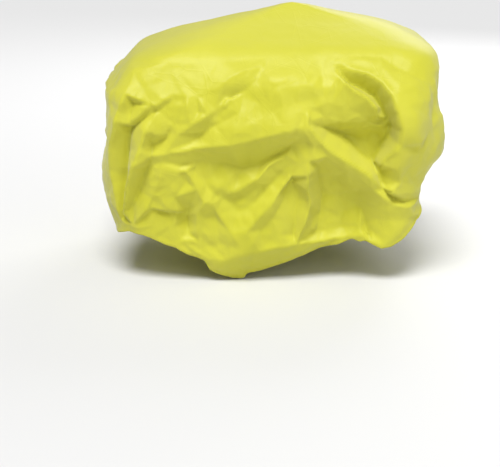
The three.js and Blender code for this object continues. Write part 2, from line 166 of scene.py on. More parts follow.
def moulded_material(name, dark, light, roughness, grain, relief, metallic, stretch):
    """Rubber, board, nylon or metal: a cloudy colour, a fine grain that may run one way, and uneven gloss."""
    material, tree, shader = start_material(name, dark, roughness, metallic)
    spot = object_place(tree, scale=(1, stretch, stretch))
    fine = cloudy(tree, spot, grain, 3)
    tone = weigh(tree, (cloudy(tree, spot, 40, 5), 0.6), (fine, 0.4))
    set_inputs(tree, shader, {
        "Base Color": colour_ramp(tree, tone, [(0.35, dark), (0.7, light)]),
        "Roughness": weigh(tree, (fine, 0.3), start=roughness - 0.15),
        "Normal": add_bump(tree, fine, 0.4, relief * MM)})
    return material


def reflective_material():
    """Silver safety tape: small prisms in a honeycomb under a clear skin."""
    material, tree, shader = start_material("reflective_tape", (0.62, 0.64, 0.66), 0.3, 0.35)
    prisms = fold_lines(tree, 420, 0.16)
    cloud = cloudy(tree, object_place(tree), 30, 4)
    tones = [(0, (0.3, 0.31, 0.33)), (0.45, (0.6, 0.62, 0.64)), (0.8, (0.74, 0.75, 0.77))]
    set_inputs(tree, shader, {
        "Base Color": colour_ramp(tree, weigh(tree, (cloud, 1), (prisms, -0.35)), tones),
        "Roughness": weigh(tree, (cloud, 0.2), start=0.2),
        "Normal": add_bump(tree, prisms, 0.4, 0.0002)})
    return material


def cover_material():
    """Thin coated nylon: packing lines, crinkles, a soft sheen, and light coming through it."""
    material, tree, shader = start_material("cover_nylon", (0.74, 0.735, 0.045), 0.46)
    spot = object_place(tree)
    patches = maths(tree, "MULTIPLY", cloudy(tree, spot, 14, 1), cloudy(tree, spot, 31, 2))
    lines = weigh(tree, (fold_lines(tree, 17, 0.02, (0.3, 0.7, 0.2)), 3),
                  (fold_lines(tree, 38, 0.035, (1.1, 0.2, 0.9)), 3))
    lines = maths(tree, "MULTIPLY", lines, patches)
    worn = weigh(tree, (cloudy(tree, spot, 9, 5), 1), (lines, 0.05))
    tones = [(0.3, (0.70, 0.70, 0.032)), (0.75, (0.77, 0.765, 0.055)), (1, (0.80, 0.80, 0.10))]
    normal = add_bump(tree, cloudy(tree, spot, 55, 3, "RIDGED_MULTIFRACTAL"), 0.16, 0.0012)
    normal = add_bump(tree, lines, 0.16, 0.0006, Normal=normal)
    normal = add_bump(tree, cloudy(tree, spot, 420, 4), 0.12, 0.0003, Normal=normal)
    set_inputs(tree, shader, {
        "Base Color": colour_ramp(tree, worn, tones), "Normal": normal,
        "Sheen Weight": 0.3, "Sheen Roughness": 0.6, "Specular IOR Level": 0.4})
    through = {"Color": (0.86, 0.76, 0.012, 1), "Normal": normal}
    through = add_node(tree, "BsdfTranslucent", "BSDF", through)
    cloth = add_node(tree, "MixShader", "Shader", {"Fac": 0.3, 1: shader.outputs["BSDF"], 2: through})
    set_inputs(tree, tree.nodes["Material Output"], {"Surface": cloth})
    return material


# Woven looks: look, slot, material, its dark, middle and light grey, then what woven_material asks for.
WOVEN = [
    ("fabric", "bag_fabric", "bag_polyester", (0.009, 0.014, 0.024), 0.9, 0.14, 0.7, 0, 0.08),
    ("lining", "lining", "lining_nylon", (0.15, 0.2, 0.27), 0.7, 0.08, 0.6, 0, 0.25),
    ("webbing", "webbing", "strap_webbing", (0.009, 0.015, 0.03), 1.5, 0.3, 0.78, 0.785, 0.12),
    ("tape", "zip_tape", "zip_tape_weave", (0.007, 0.012, 0.022), 0.8, 0.14, 0.8, 0.785, 0.08),
    ("pad", "foam", "foam_fleece", (0.04, 0.06, 0.09), 1.5, 0.16, 0.88, 0, 0.2),
    ("elastic", "elastic", "elastic_weave", (0.01, 0.02, 0.05), 0.6, 0.18, 0.8, 0, 0.25),
]
# Moulded looks: look, slot, material, its dark and light colour, then what moulded_material asks for.
MOULDED = [
    ("net", "net", "net_nylon", (0.02, 0.02, 0.022), (0.05, 0.05, 0.055), 0.6, 900, 0.1, 0, 1),
    ("teeth", "zip_tape", "zip_coil_nylon",
     (0.012, 0.012, 0.013), (0.03, 0.03, 0.032), 0.35, 500, 0.05, 0, 1),
    ("thread", "webbing", "sewing_thread", (0.09, 0.09, 0.095), (0.17, 0.17, 0.175), 0.7, 1800, 0.05, 0, 1),
    ("rubber", "rubber", "mat_rubber", (0.008, 0.008, 0.009), (0.028, 0.028, 0.03), 0.8, 700, 0.25, 0, 1),
    ("board", None, "base_hardboard", (0.05, 0.035, 0.022), (0.11, 0.078, 0.05), 0.7, 260, 0.15, 0, 0.2),
    ("metal", None, "gunmetal", (0.16, 0.165, 0.175), (0.34, 0.345, 0.36), 0.36, 420, 0.03, 1, 0.15),
]


def make_looks():
    """Each look's material, and the name of a slot kept with it."""
    looks = {"cover": (cover_material(), "cover_fabric")}
    looks["reflective"] = (reflective_material(), "reflective_tape")
    for look, slot, name, greys, *how in WOVEN:
        colours = [(grey, grey, 1.06 * grey) for grey in greys]
        looks[look] = (woven_material(name, colours, *how), slot)
    for look, slot, *how in MOULDED:
        looks[look] = (moulded_material(*how), slot)
    return looks


LOOKS = make_looks()


# ---------------------------------------------------------------- camera, light, floor

def make_camera():
    """Level with the load on the rack, a little above it, looking across the bicycle."""
    elevation = math.radians(16)
    distance = 1.5
    target = Vector((-0.0255, 0, -0.0416))
    data = bpy.data.cameras.new("camera")
    data.sensor_width = 36
    data.lens = 93.1
    camera = link("camera", data)
    camera.location = target + distance * Vector((0, -math.cos(elevation), math.sin(elevation)))
    camera.rotation_euler = (math.pi / 2 - elevation, 0, 0)
    bpy.context.scene.camera = camera


def make_light(name, kind, position, target, strength, **settings):
    data = bpy.data.lights.new(name, kind)
    data.energy = strength
    for setting, value in settings.items():
        setattr(data, setting, value)
    light = link(name, data)
    light.location = position
    aim = Vector(target) - Vector(position)
    light.rotation_euler = aim.to_track_quat("-Z", "Y").to_euler()


def make_lights():
    """A broad soft light from above and in front, weak ones from two sides, and a white room."""
    world = bpy.data.worlds.new("studio")
    world.use_nodes = True
    room = {"Color": (1, 1, 1, 1), "Strength": 0.22}
    set_inputs(world.node_tree, world.node_tree.nodes["Background"], room)
    bpy.context.scene.world = world
    bpy.context.scene.view_settings.view_transform = "Standard"
    middle = (0, 0, 0.1)
    make_light("key", "SUN", (-0.15, -0.68, 1.6), middle, 3.35, angle=math.radians(30))
    make_light("fill", "AREA", (0.9, -1.7, 0.7), middle, 6, size=0.9)
    make_light("back", "AREA", (0.6, 1.4, 1.0), middle, 11, size=0.9)


def make_floor():
    size, height = 60, -0.0615
    mesh = bpy.data.meshes.new("floor")
    corners = [(-size, -size, height), (size, -size, height), (size, size, height), (-size, size, height)]
    mesh.from_pydata(corners, [], [(0, 1, 2, 3)])
    paint, _, _ = start_material("floor_paint", (0.72, 0.72, 0.72), 0.7)
    mesh.materials.append(paint)
    link("floor", mesh)


# ---------------------------------------------------------------- mesh helpers

def smoothstep(low, high, value):
    t = np.clip((value - low) / (high - low), 0, 1)
    return t * t * (3 - 2 * t)


def new_object(name, points_mm, faces, look, smooth=True):
    mesh = bpy.data.meshes.new(name)
    mesh.from_pydata([tuple(p) for p in np.asarray(points_mm, float) * MM], [], faces)
    mesh.update()
    obj = link(name, mesh)
    mesh.materials.append(LOOKS[look][0])
    if smooth:
        mesh.shade_smooth()
    return obj


def face_out(obj):
    """Merges points that meet and turns every face out."""
    made = bmesh.new()
    made.from_mesh(obj.data)
    bmesh.ops.remove_doubles(made, verts=made.verts, dist=1e-6)
    bmesh.ops.recalc_face_normals(made, faces=made.faces)
    made.to_mesh(obj.data)
    made.free()


def join(name, parts):
    """Several meshes as one piece."""
    made = bmesh.new()
    for part in parts:
        made.from_mesh(part.data)
    mesh = bpy.data.meshes.new(name)
    made.to_mesh(mesh)
    made.free()
    mesh.materials.append(parts[0].data.materials[0])
    for part in parts:
        bpy.data.objects.remove(part)
    return link(name, mesh)


def place(piece, body, slot, *nodes):
    """piece rides on body and stands for the CAD nodes. The slot is not used."""
    if nodes:
        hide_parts(*nodes)
    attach(piece, body)
    return piece


def rounded_ring(front, rear, near, far, corner, split):
    """Points round a rounded rectangle from its near front corner, with (arc, side) steps in each quarter."""
    r = min(corner, (rear - front) / 2, (far - near) / 2)
    centres = [(front + r, near + r), (rear - r, near + r), (rear - r, far - r), (front + r, far - r)]
    points = []
    for i, ((cx, cy), (arc_steps, side_steps)) in enumerate(zip(centres, split)):
        start = 180 + 90 * i
        for k in range(arc_steps):
            angle = math.radians(start + 90 * k / arc_steps)
            points.append((cx + r * math.cos(angle), cy + r * math.sin(angle)))
        angle = math.radians(start + 90)
        edge = r * np.array([math.cos(angle), math.sin(angle)])
        here, there = np.array([cx, cy]) + edge, np.array(centres[(i + 1) % 4]) + edge
        for k in range(side_steps):
            points.append(tuple(here + (there - here) * k / side_steps))
    return np.array(points)


def plate_ring(size, inset, corner, split):
    """The outline of a rounded plate of (length, width) about its middle, inset all round."""
    a, b = size[0] / 2 - inset, size[1] / 2 - inset
    return rounded_ring(-a, a, -b, b, corner, split)


def flat_ring(ring, z):
    """A ring of 2-D points laid level at a height."""
    return np.column_stack([ring, np.full(len(ring), float(z))])


def upright_ring(ring, middle, shift=0.0):
    """A ring of (across, up) points stood up across the bag about a middle, and moved along the bag."""
    return middle + np.column_stack([shift + np.zeros(len(ring)), ring])


def grid_normals(grid):
    along = np.roll(grid, -1, axis=1) - np.roll(grid, 1, axis=1)
    up = np.gradient(grid, axis=0)
    normal = np.cross(along, up)
    length = np.linalg.norm(normal, axis=2, keepdims=True)
    return normal / np.maximum(length, 1e-9)


def grid_object(name, grid, look, loop=False):
    """A skin over rows of rings. Its two ends are filled, or with loop the last row meets the first."""
    grid = np.asarray(grid, float)
    rows, columns = grid.shape[:2]
    faces = []
    for i in range(rows if loop else rows - 1):
        here, there = i * columns, (i + 1) % rows * columns
        for j in range(columns):
            k = (j + 1) % columns
            faces.append((here + j, here + k, there + k, there + j))
    if not loop:
        faces.append(tuple(range(columns))[::-1])
        faces.append(tuple((rows - 1) * columns + j for j in range(columns)))
    made = new_object(name, grid.reshape(-1, 3), faces, look)
    face_out(made)
    return made


def add_skin(name, grid, look, body, *nodes, slot=None, loop=False):
    return place(grid_object(name, grid, look, loop), body, slot or LOOKS[look][1], *nodes)


# ---------------------------------------------------------------- the bag's measures

def measures(node):
    """A node's low and high corners, middle and size, in mm."""
    low, high = (np.array(corner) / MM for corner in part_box(node))
    return low, high, (low + high) / 2, high - low


TUB_LOW, TUB_HIGH, _, _ = measures("tub_shell")
LID_LOW, LID_HIGH, _, _ = measures("lid_shell")
FLOOR, RIM = TUB_LOW[2], TUB_HIGH[2]
HALF_LENGTH, HALF_WIDTH = TUB_HIGH[:2]
TAPER = (8, 10)  # how much the base is smaller than the rim at each end and side
CORNER = 34
GAP = 0.3  # between pieces that touch
WALL = 2
LINING = WALL + GAP + 0.1  # how far inside the bag's skin the padding starts
SAG = 1.2  # how far the walls hang in between the corners
SIDES = {"near": -1, "far": 1}
ENDS = {"front": -1, "rear": 1}
X, Y, Z = np.eye(3)
# Steps round the bag: each corner and the stretch after it, from the near front corner.
CORNER_STEPS, LONG_STEPS, END_STEPS = 8, 60, 30
BAG_SPLIT = [(CORNER_STEPS, LONG_STEPS), (CORNER_STEPS, END_STEPS)] * 2
# The lid's dome: height and how far in from the rim.
DOME = [(LID_LOW[2], 0), (162, 0.5), (175, 8), (184, 26), (189, 52), (LID_HIGH[2], 80)]


def up_share(z):
    """How far up the tub a height is, from 0 at the floor to 1 at the rim."""
    return np.clip((z - FLOOR) / (RIM - FLOOR), 0, 1)


def bag_ring(z, inset=0.0, corner=CORNER):
    """The bag's outline at a height, as points."""
    half_length = HALF_LENGTH - TAPER[0] * (1 - up_share(z)) - inset
    half_width = wall_y(z) - inset
    corner = min(max(corner - inset, 6), half_width - 1)
    return flat_ring(rounded_ring(-half_length, half_length, -half_width, half_width, corner, BAG_SPLIT), z)


def bag_rings(rows, step=4.5):
    """The bag's outline at each (height, inset), and between them where they are more than step apart."""
    return np.array([bag_ring(z, inset) for z, inset in fine_rows(rows, step)])


def wall_y(z):
    """How far the tub's long sides are from the middle at a height."""
    return HALF_WIDTH - TAPER[1] * (1 - up_share(z))


def lid_top(x):
    """Height of the lid's skin along its middle."""
    heights, insets = zip(*DOME)
    return np.interp(HALF_LENGTH - np.abs(x), insets, heights)


def fine_rows(rows, step):
    """The same line of rows, cut so that no stretch of it is longer than step."""
    rows = np.array(rows, float)
    made = [rows[0]]
    for a, b in zip(rows, rows[1:]):
        count = max(1, math.ceil(np.linalg.norm((b - a)[:2]) / step))
        made += [a + (b - a) * k / count for k in range(1, count + 1)]
    return made


def sag(points):
    """The walls hang in between the corners, the stiff rim and the base, all their layers together."""
    points = np.array(points, float)
    x, y, z = (points[..., i] for i in range(3))
    height = np.sin(np.pi * up_share(z))
    beside = np.clip(np.abs(y) / wall_y(z), 0, 1) ** 6 * (1 - np.clip(x / HALF_LENGTH, -1, 1) ** 2)
    ahead = np.clip(np.abs(x) / HALF_LENGTH, 0, 1) ** 6 * (1 - np.clip(y / HALF_WIDTH, -1, 1) ** 2)
    points[..., 1] -= np.sign(y) * SAG * height * beside
    points[..., 0] -= np.sign(x) * SAG * height * ahead
    return points


def ruffle(grid, amount, size, seed):
    """Soft puckers of about that size, pressed in by up to amount."""
    grid = np.asarray(grid, float)
    spots = [Vector(p) / size + Vector((seed, 0, 0)) for p in grid.reshape(-1, 3)]
    depth = np.array([noise.fractal(p, 0.9, 2.1, 3) for p in spots]).reshape(grid.shape[:2] + (1,))
    row = np.arange(len(grid))
    fade = np.clip(np.minimum(row, len(grid) - 1 - row) / 5, 0, 1)[:, None, None]
    return grid + grid_normals(grid) * amount * fade * np.clip(depth - 0.3, -1, 0)


def on_skin(path, grid, axis):
    """A line of points laid on the nearest part of a skin, along one axis."""
    skin = np.asarray(grid).reshape(-1, 3)
    laid = np.array(path, float)
    others = [i for i in range(3) if i != axis]
    for point in laid:
        aside = np.linalg.norm(skin[:, others] - point[others], axis=1)
        nearest = np.argmin(aside + 0.2 * np.abs(skin[:, axis] - point[axis]))
        point[axis] = skin[nearest, axis]
    return laid


# ---------------------------------------------------------------- straps, patches, teeth and stitches

def sweep(path, u, v, section):
    """Rings of a section of (along u, along v) points, carried along a path."""
    us, vs = np.broadcast_to(u, path.shape), np.broadcast_to(v, path.shape)
    return np.array([[p + a * u + b * v for a, b in section] for p, u, v in zip(path, us, vs)])


def round_section(radius, sides=10):
    angles = 2 * np.pi * np.arange(sides) / sides
    return np.column_stack([radius * np.cos(angles), radius * np.sin(angles)])


def tape_section(width, thick, across=6):
    return plate_ring((width, thick), 0, 0.45 * thick, [(2, across), (2, 1)] * 2)


def strap_grid(path, across, width, thick, loop=False):
    """A flat strap along a path of points, lying with its width along across."""
    path = np.asarray(path, float)
    tangent = np.roll(path, -1, 0) - np.roll(path, 1, 0) if loop else np.gradient(path, axis=0)
    off = np.cross(tangent, across)
    off /= np.linalg.norm(off, axis=1, keepdims=True)
    return sweep(path, across, off, tape_section(width, thick))


def rounded_path(points, times):
    """A line whose corners are cut until they are round."""
    points = np.asarray(points, float)
    for _ in range(times):
        a, b = points[:-1], points[1:]
        cut = np.stack([0.75 * a + 0.25 * b, 0.25 * a + 0.75 * b], axis=1).reshape(-1, points.shape[1])
        points = np.vstack([points[:1], cut, points[-1:]])
    return points


def distances(path):
    """How far along a line of points each one is."""
    return np.concatenate([[0], np.cumsum(np.linalg.norm(np.diff(path, axis=0), axis=1))])


def points_along(path, at):
    """The points of a line at the given distances along it."""
    far = distances(path)
    return np.column_stack([np.interp(at, far, path[:, i]) for i in range(path.shape[1])])


def outward(path):
    """The direction out of the bag, in plan, at each point of a line that runs anticlockwise round it."""
    tangent = np.gradient(path, axis=0)
    off = np.column_stack([tangent[:, 1], -tangent[:, 0], np.zeros(len(path))])
    return off / np.linalg.norm(off, axis=1, keepdims=True)


def ring_outward(ring):
    return outward(np.vstack([ring, ring[:1]]))[:-1]


def patch_grid(centre, u, v, size, corner=2.0):
    """A flat piece sewn down: width along u, height along v, and its thickness off the face, from centre."""
    off = np.cross(u, v)
    rows = [(0.4, 0), (0, 0.25), (0, 0.7), (0.3, 0.95), (1, 1), (0.35 * min(size[:2]), 1)]
    grid = []
    for inset, up in rows:
        ring = plate_ring(size, inset, max(corner - inset, 0.3), [(4, 8)] * 4)
        grid.append(centre + ring[:, :1] * u + ring[:, 1:] * v + up * size[2] * off)
    return np.array(grid)


def blocks(name, centres, u, v, w, size, look):
    """Many small blocks with trimmed tops, such as zip teeth, as one piece."""
    half = np.array(size) / 2
    corners = [(a * (0.7 if c > 0 else 1), b * (0.8 if c > 0 else 1), c) for c in (-1, 1)
               for a, b in ((-1, -1), (1, -1), (1, 1), (-1, 1))]
    sides = [(0, 3, 2, 1), (4, 5, 6, 7), (0, 1, 5, 4), (1, 2, 6, 5), (2, 3, 7, 6), (3, 0, 4, 7)]
    points, faces = [], []
    for centre, *axes in zip(centres, *(np.broadcast_to(axis, centres.shape) for axis in (u, v, w))):
        faces += [tuple(len(points) + i for i in side) for side in sides]
        points += [centre + (np.array(corner) * half) @ axes for corner in corners]
    made = new_object(name, points, faces, look, smooth=False)
    face_out(made)
    return made


def stitching(name, runs):
    """Runs of stitches along lines of points, each with the direction off the cloth."""
    pitch, length, radius = 3.4, 2.4, 0.3
    points, faces = [], []
    for path, off in runs:
        path = np.asarray(path, float)
        starts = np.arange(0.5, distances(path)[-1] - length, pitch)
        ends = points_along(path, starts), points_along(path, starts + length)
        off = np.broadcast_to(off, path.shape)
        outs = np.column_stack([np.interp(starts, distances(path), off[:, i]) for i in range(3)])
        for a, b, out in zip(*ends, outs):
            side = np.cross(b - a, out)
            side /= np.linalg.norm(side)
            k = len(points)
            for t in (0.15, 0.85):
                points += [a + t * (b - a) + radius * way for way in (side, out, -side, -out)]
            points += [a, b]
            for i, j in ((0, 1), (1, 2), (2, 3), (3, 0)):
                faces += [(k + i, k + j, k + j + 4, k + i + 4), (k + 8, k + j, k + i),
                          (k + 9, k + i + 4, k + j + 4)]
    made = new_object(name, points, faces, "thread")
    face_out(made)
    return made


def box_seam(centre, u, v, half_size, off, lift, crossed=False):
    """A run of stitches round a rectangle, lift off its centre, with one diagonal if it is crossed."""
    a, b = half_size
    corners = [(-a, -b), (a, -b), (a, b), (-a, b), (-a, -b)] + [(a, b)] * crossed
    return [centre + p * u + q * v + lift * off for p, q in corners], off


# ---------------------------------------------------------------- tub, liner, mat, divider

def make_tub():
    outer = [(FLOOR, 60), (FLOOR, 9), (FLOOR + 0.8, 5), (FLOOR + 3, 1.6), (FLOOR + 7, 0), (RIM - 1, 0),
             (RIM, 0.6)]
    inner = [(RIM, 1.4), (RIM - 1, WALL), (11, WALL), (FLOOR + 3, 6), (FLOOR + WALL, 11), (FLOOR + WALL, 60)]
    skin = sag(ruffle(bag_rings(outer + inner), 0.7, 24, 3))
    add_skin("tub_fabric", skin, "fabric", "bag", "tub_shell")
    return skin


def make_liner():
    """Foam sewn into upright channels between two layers of lining."""
    low, high, _, _ = measures("foam_liner")
    bottom, top, thick = low[2], high[2], 4
    outer = [(bottom, 50), (bottom, 8), (bottom + 6, LINING), (top - 1, LINING), (top, LINING + 1)]
    inner = [(top, LINING + 3), (top - 1, LINING + thick), (bottom + 12, LINING + thick),
             (bottom + thick, 14), (bottom + thick, 50)]
    grid = bag_rings(outer + inner)
    walls = slice(len(bag_rings(outer)) + 1, -8)  # the inner skin above its floor
    channel, seam_depth = 30, 1.3
    spread = grid[walls][..., 0] + grid[walls][..., 1]
    pressed = seam_depth * np.abs(np.cos(np.pi * spread / (2 * channel))) ** 10
    grid[walls] -= grid_normals(grid)[walls] * pressed[..., None]
    add_skin("padded_liner", sag(grid), "lining", "bag", "foam_liner")


def make_mat():
    """A rubber mat with ribs along it where it grips the rack."""
    low, _, middle, size = measures("grip_mat")
    rib_height, sunk, pitch = 0.8, 0.2, 9
    face = middle * (1, 1, 0) + (low[2] + rib_height) * Z
    slab = patch_grid(face, X, Y, size - rib_height * Z, corner=18)
    parts = [grid_object("slab", slab, "rubber")]
    for k in range(-5, 6):
        length = size[0] - (32 if abs(k) == 5 else 14)
        rib = patch_grid(face + k * pitch * Y + sunk * Z, X, -Y, (length, 4, rib_height + sunk), corner=1.9)
        parts.append(grid_object("rib", rib, "rubber"))
    place(join("rubber_mat", parts), "bag", "rubber", "grip_mat")


def make_divider():
    """A padded board with two sewn channels and a bound edge."""
    _, _, middle, size = measures("divider")
    rows = np.array([(50, 1), (30, 1), (18, 0.98), (10, 0.92), (5, 0.75), (2, 0.5), (0.4, 0.3), (0, 0.15)])
    rows = np.vstack([rows * (1, -size[0] / 2), rows[::-1] * (1, size[0] / 2)])
    grid = []
    for inset, side in fine_rows(rows, 6):
        ring = plate_ring(size[1:], inset, max(14 - inset, 4), [(8, 26)] * 4)
        pressed = 1 - 0.3 * np.exp(-((np.abs(ring[:, 0]) - 26) / 3) ** 2)
        grid.append(upright_ring(ring, middle, side * pressed))
    add_skin("padded_divider", grid, "lining", "divider", "divider")
    path = upright_ring(plate_ring(size[1:], 0.2, 14, [(10, 4)] * 4), middle)
    binding = strap_grid(path, X, 4.4, 1, loop=True)
    add_skin("divider_binding", binding, "tape", "divider", slot="webbing", loop=True)


# ---------------------------------------------------------------- lid, net, handle

def dome_rows(depth, bottom):
    """The lid's skin as (height, inset, corner) from its open edge to its top, depth under the outside."""
    rows = spline_rows([(z - depth, inset + depth) for z, inset in DOME], [5, 5, 6, 7, 7])
    rows[0, 0] = bottom
    return [(z, inset, CORNER + inset - depth) for z, inset in rows]


def dome_layer(start, end, bottom):
    """A layer of the lid between two depths under its outside."""
    return np.array([bag_ring(*row) for row in dome_rows(end, bottom)[::-1] + dome_rows(start, bottom)])


def make_lid():
    skin = ruffle(dome_layer(0, WALL, LID_LOW[2]), 0.5, 30, 8)
    add_skin("lid_fabric", skin, "fabric", "lid", "lid_shell")
    foam = ruffle(dome_layer(LINING, LINING + 4, measures("lid_foam")[0][2]), 0.6, 40, 5)
    add_skin("lid_padding", foam, "pad", "lid", "lid_foam")


def make_net():
    """Diagonal strands inside a bound edge, hanging a little in the middle."""
    _, _, middle, size = measures("lid_mesh_pocket")
    half = size[:2] / 2
    spacing, strand, droop = 7, 1.1, 2.2
    parts = []
    for turn, layer in ((0.55, -0.2), (-0.55, 0.2)):
        way = np.array([math.cos(turn), math.sin(turn)])
        side = np.array([-way[1], way[0]])
        for k in range(-30, 31):
            line = side * k * spacing + np.outer(np.arange(-180, 181, 6), way)
            past = np.maximum(np.abs(line) - (half - CORNER), 0)
            line = line[np.linalg.norm(past, axis=1) < CORNER - 2]
            if len(line) > 2:
                hang = droop * np.prod(1 - (line / half) ** 2, axis=1)
                path = middle + np.column_stack([line, layer - hang])
                grid = sweep(path, np.append(side, 0), Z, tape_section(strand, 0.45, 1))
                parts.append(grid_object("strand", grid, "net"))
    border = middle + flat_ring(plate_ring(size, 4, CORNER - 4, [(10, 12)] * 4), 0)
    grid = sweep(border, ring_outward(border), Z, tape_section(8, 1.1))
    parts.append(grid_object("border", grid, "net", loop=True))
    net = place(join("lid_net", parts), "lid", "net", "lid_mesh_pocket")


def make_handle():
    """Webbing arched over the lid, with a padded sleeve and a patch sewn on each foot."""
    _, high, centre, size = measures("handle_webbing")
    x, half_span, width, thick = centre[0], size[0] / 2, size[1], 2.2
    top = high[2] - thick / 2
    arch, ramp = 28, 20
    shape = [(-half_span, 0), (-arch - ramp, 0), (-arch, 1), (0, 1), (arch, 1), (arch + ramp, 0),
             (half_span, 0)]
    path = []
    for at, up in rounded_path(shape, 4):
        foot = lid_top(x + at) + GAP + thick / 2
        path.append((x + at, 0, foot + up * (top - foot)))
    add_skin("carry_webbing", strap_grid(path, Y, width, thick), "webbing", "lid", "handle_webbing")
    _, _, middle, size = measures("handle_grip")
    half = size / 2
    swells = [(-1, 0.84), (-0.97, 0.95), (-0.9, 1), (-0.5, 1), (0, 0.97), (0.5, 1), (0.9, 1), (0.97, 0.95),
              (1, 0.84)]
    sleeve = [(at * half[0], half[1] * (0.96 + 0.04 * swell), half[2] * swell) for at, swell in swells]
    hole = [(at, width / 2 + GAP, thick / 2 + GAP) for at, _, _ in sleeve[::-1]]
    grid = []
    for at, half_y, half_z in sleeve + hole:
        ring = rounded_ring(-half_y, half_y, -half_z, half_z, 0.95 * half_z, [(6, 6), (6, 1)] * 2)
        grid.append(upright_ring(ring, middle, at))
    add_skin("padded_grip", grid, "pad", "lid", "handle_grip", slot="webbing", loop=True)
    patch_thick, lift = 1.2, 1.25
    seams = []
    for name in ENDS:
        low, high, middle, size = measures(f"handle_patch_{name}")
        slope = math.atan2(lid_top(high[0]) - lid_top(low[0]), size[0])
        u = math.cos(slope) * X + math.sin(slope) * Z
        centre = middle[0] * X + (lid_top(middle[0]) + 2 * GAP + thick) * Z
        grid = patch_grid(centre, u, Y, (size[0], size[1], patch_thick), corner=2)
        add_skin(f"handle_foot_patch_{name}", grid, "fabric", "lid", f"handle_patch_{name}")
        a, b = size[:2] / 2 - 3
        off = np.cross(u, Y)
        seams.append(box_seam(centre, u, Y, (a, b), off, lift, crossed=True))
        seams.append(([centre + p * u + q * Y + lift * off for p, q in ((-a, b), (a, -b))], off))
    return seams


# ---------------------------------------------------------------- zips, hinge, piping

def zip_line(z):
    """The bag's outline at the rim along the front end, the near side and the rear end."""
    ring = bag_ring(RIM)
    stop = CORNER_STEPS * 2 + LONG_STEPS + END_STEPS
    line = np.vstack([ring[-END_STEPS:], ring[:stop + 1]])
    line[:, 2] = z
    return line


def make_main_zip():
    """Its two tapes with their teeth, one on the bag and one on the lid."""
    pitch, tooth = 1.5, (0.6, 2.6, 1.4)
    for part, body, way in (("lower", "bag", 1), ("upper", "lid", -1)):
        low, high, middle, size = measures(f"main_zip_{part}")
        path = zip_line(middle[2])
        off = outward(path)
        grid = sweep(path + off * (GAP + 0.45), Z, off, tape_section(size[2], 0.8))
        add_skin(f"main_zip_tape_{part}", grid, "tape", body, f"main_zip_{part}")
        line = zip_line((high if way > 0 else low)[2] - 0.1 * way)
        line = points_along(line, np.arange(0, distances(line)[-1], pitch))
        if way < 0:
            line = line + (np.roll(line, -1, 0) - line) / 2
            line = points_along(line, np.arange(0, distances(line)[-1], pitch))[:-1]
        off = outward(line)
        centres = line + off * (GAP + 0.75)
        teeth = blocks(f"main_zip_teeth_{part}", centres, np.cross(off, Z), Z, off, tooth, "teeth")
        place(teeth, body, "zip_tape")


def make_pocket_zip(name):
    pitch, tooth = 0.9, (0.5, 2.4, 1.1)
    low, high, middle, size = measures(f"pocket_zip_{name}")
    tapes = []
    for side in (-1, 1):
        centre = np.array([middle[0], middle[1] + side * (size[1] / 4 + 0.3), low[2]])
        grid = patch_grid(centre, X, Y, (size[0], size[1] / 2 - 0.6, 0.8), 0.8)
        tapes.append(grid_object("tape", grid, "tape"))
    place(join(f"pocket_zip_tape_{name}", tapes), "bag", "zip_tape", f"pocket_zip_{name}")
    at = np.arange(low[0] + 3, high[0] - 3, pitch)
    swing = np.where(np.arange(len(at)) % 2, 0.35, -0.35)
    centres = np.column_stack([at, middle[1] + swing, np.full(len(at), low[2] + 0.6)])
    teeth = blocks(f"pocket_zip_teeth_{name}", centres, X, Y, Z, tooth, "teeth")
    place(teeth, "bag", "zip_tape")


def make_hinge():
    """The strip of cloth that the lid folds on, sewn to the tub and to the lid."""
    low, _, middle, size = measures("lid_hinge_strip")
    y, bottom, top = middle[1], low[2], LID_LOW[2] + 7
    heights = np.linspace(bottom, top, 26)
    path = y * Y + np.outer(heights, Z)
    strip = grid_object("lid_hinge", strap_grid(path, X, size[0], 0.7), "fabric")
    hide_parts("lid_hinge_strip")
    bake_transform(strip)
    ends = np.outer((middle[0] + size[0] / 2 - 4, middle[0] - size[0] / 2 + 4), X) + (y + 0.4) * Y
    return [(ends + (bottom + 3) * Z, Y), (ends + (bottom + 6) * Z, Y)], [(ends + (top - 2.5) * Z, Y)]


def make_piping():
    _, high, middle, size = measures("lid_piping")
    radius = size[2] / 2
    ring = bag_ring(RIM, inset=-(high[0] - radius - HALF_LENGTH), corner=CORNER)
    ring[:, 2] = middle[2]
    grid = sweep(ring, ring_outward(ring), Z, round_section(radius))
    add_skin("lid_edge_piping", grid, "reflective", "lid", "lid_piping", loop=True)
    for name, way in ENDS.items():
        ring = bag_ring(measures(f"base_piping_{name}")[2][2], inset=-(radius + GAP))
        start = CORNER_STEPS + LONG_STEPS if way > 0 else len(ring) - CORNER_STEPS - END_STEPS
        path = np.roll(ring, -start, 0)[:CORNER_STEPS * 2 + END_STEPS + 1]
        grid = sweep(path, outward(path), Z, round_section(radius))
        add_skin(f"base_edge_piping_{name}", grid, "reflective", "bag", f"base_piping_{name}")


# ---------------------------------------------------------------- pockets, reflectors, straps

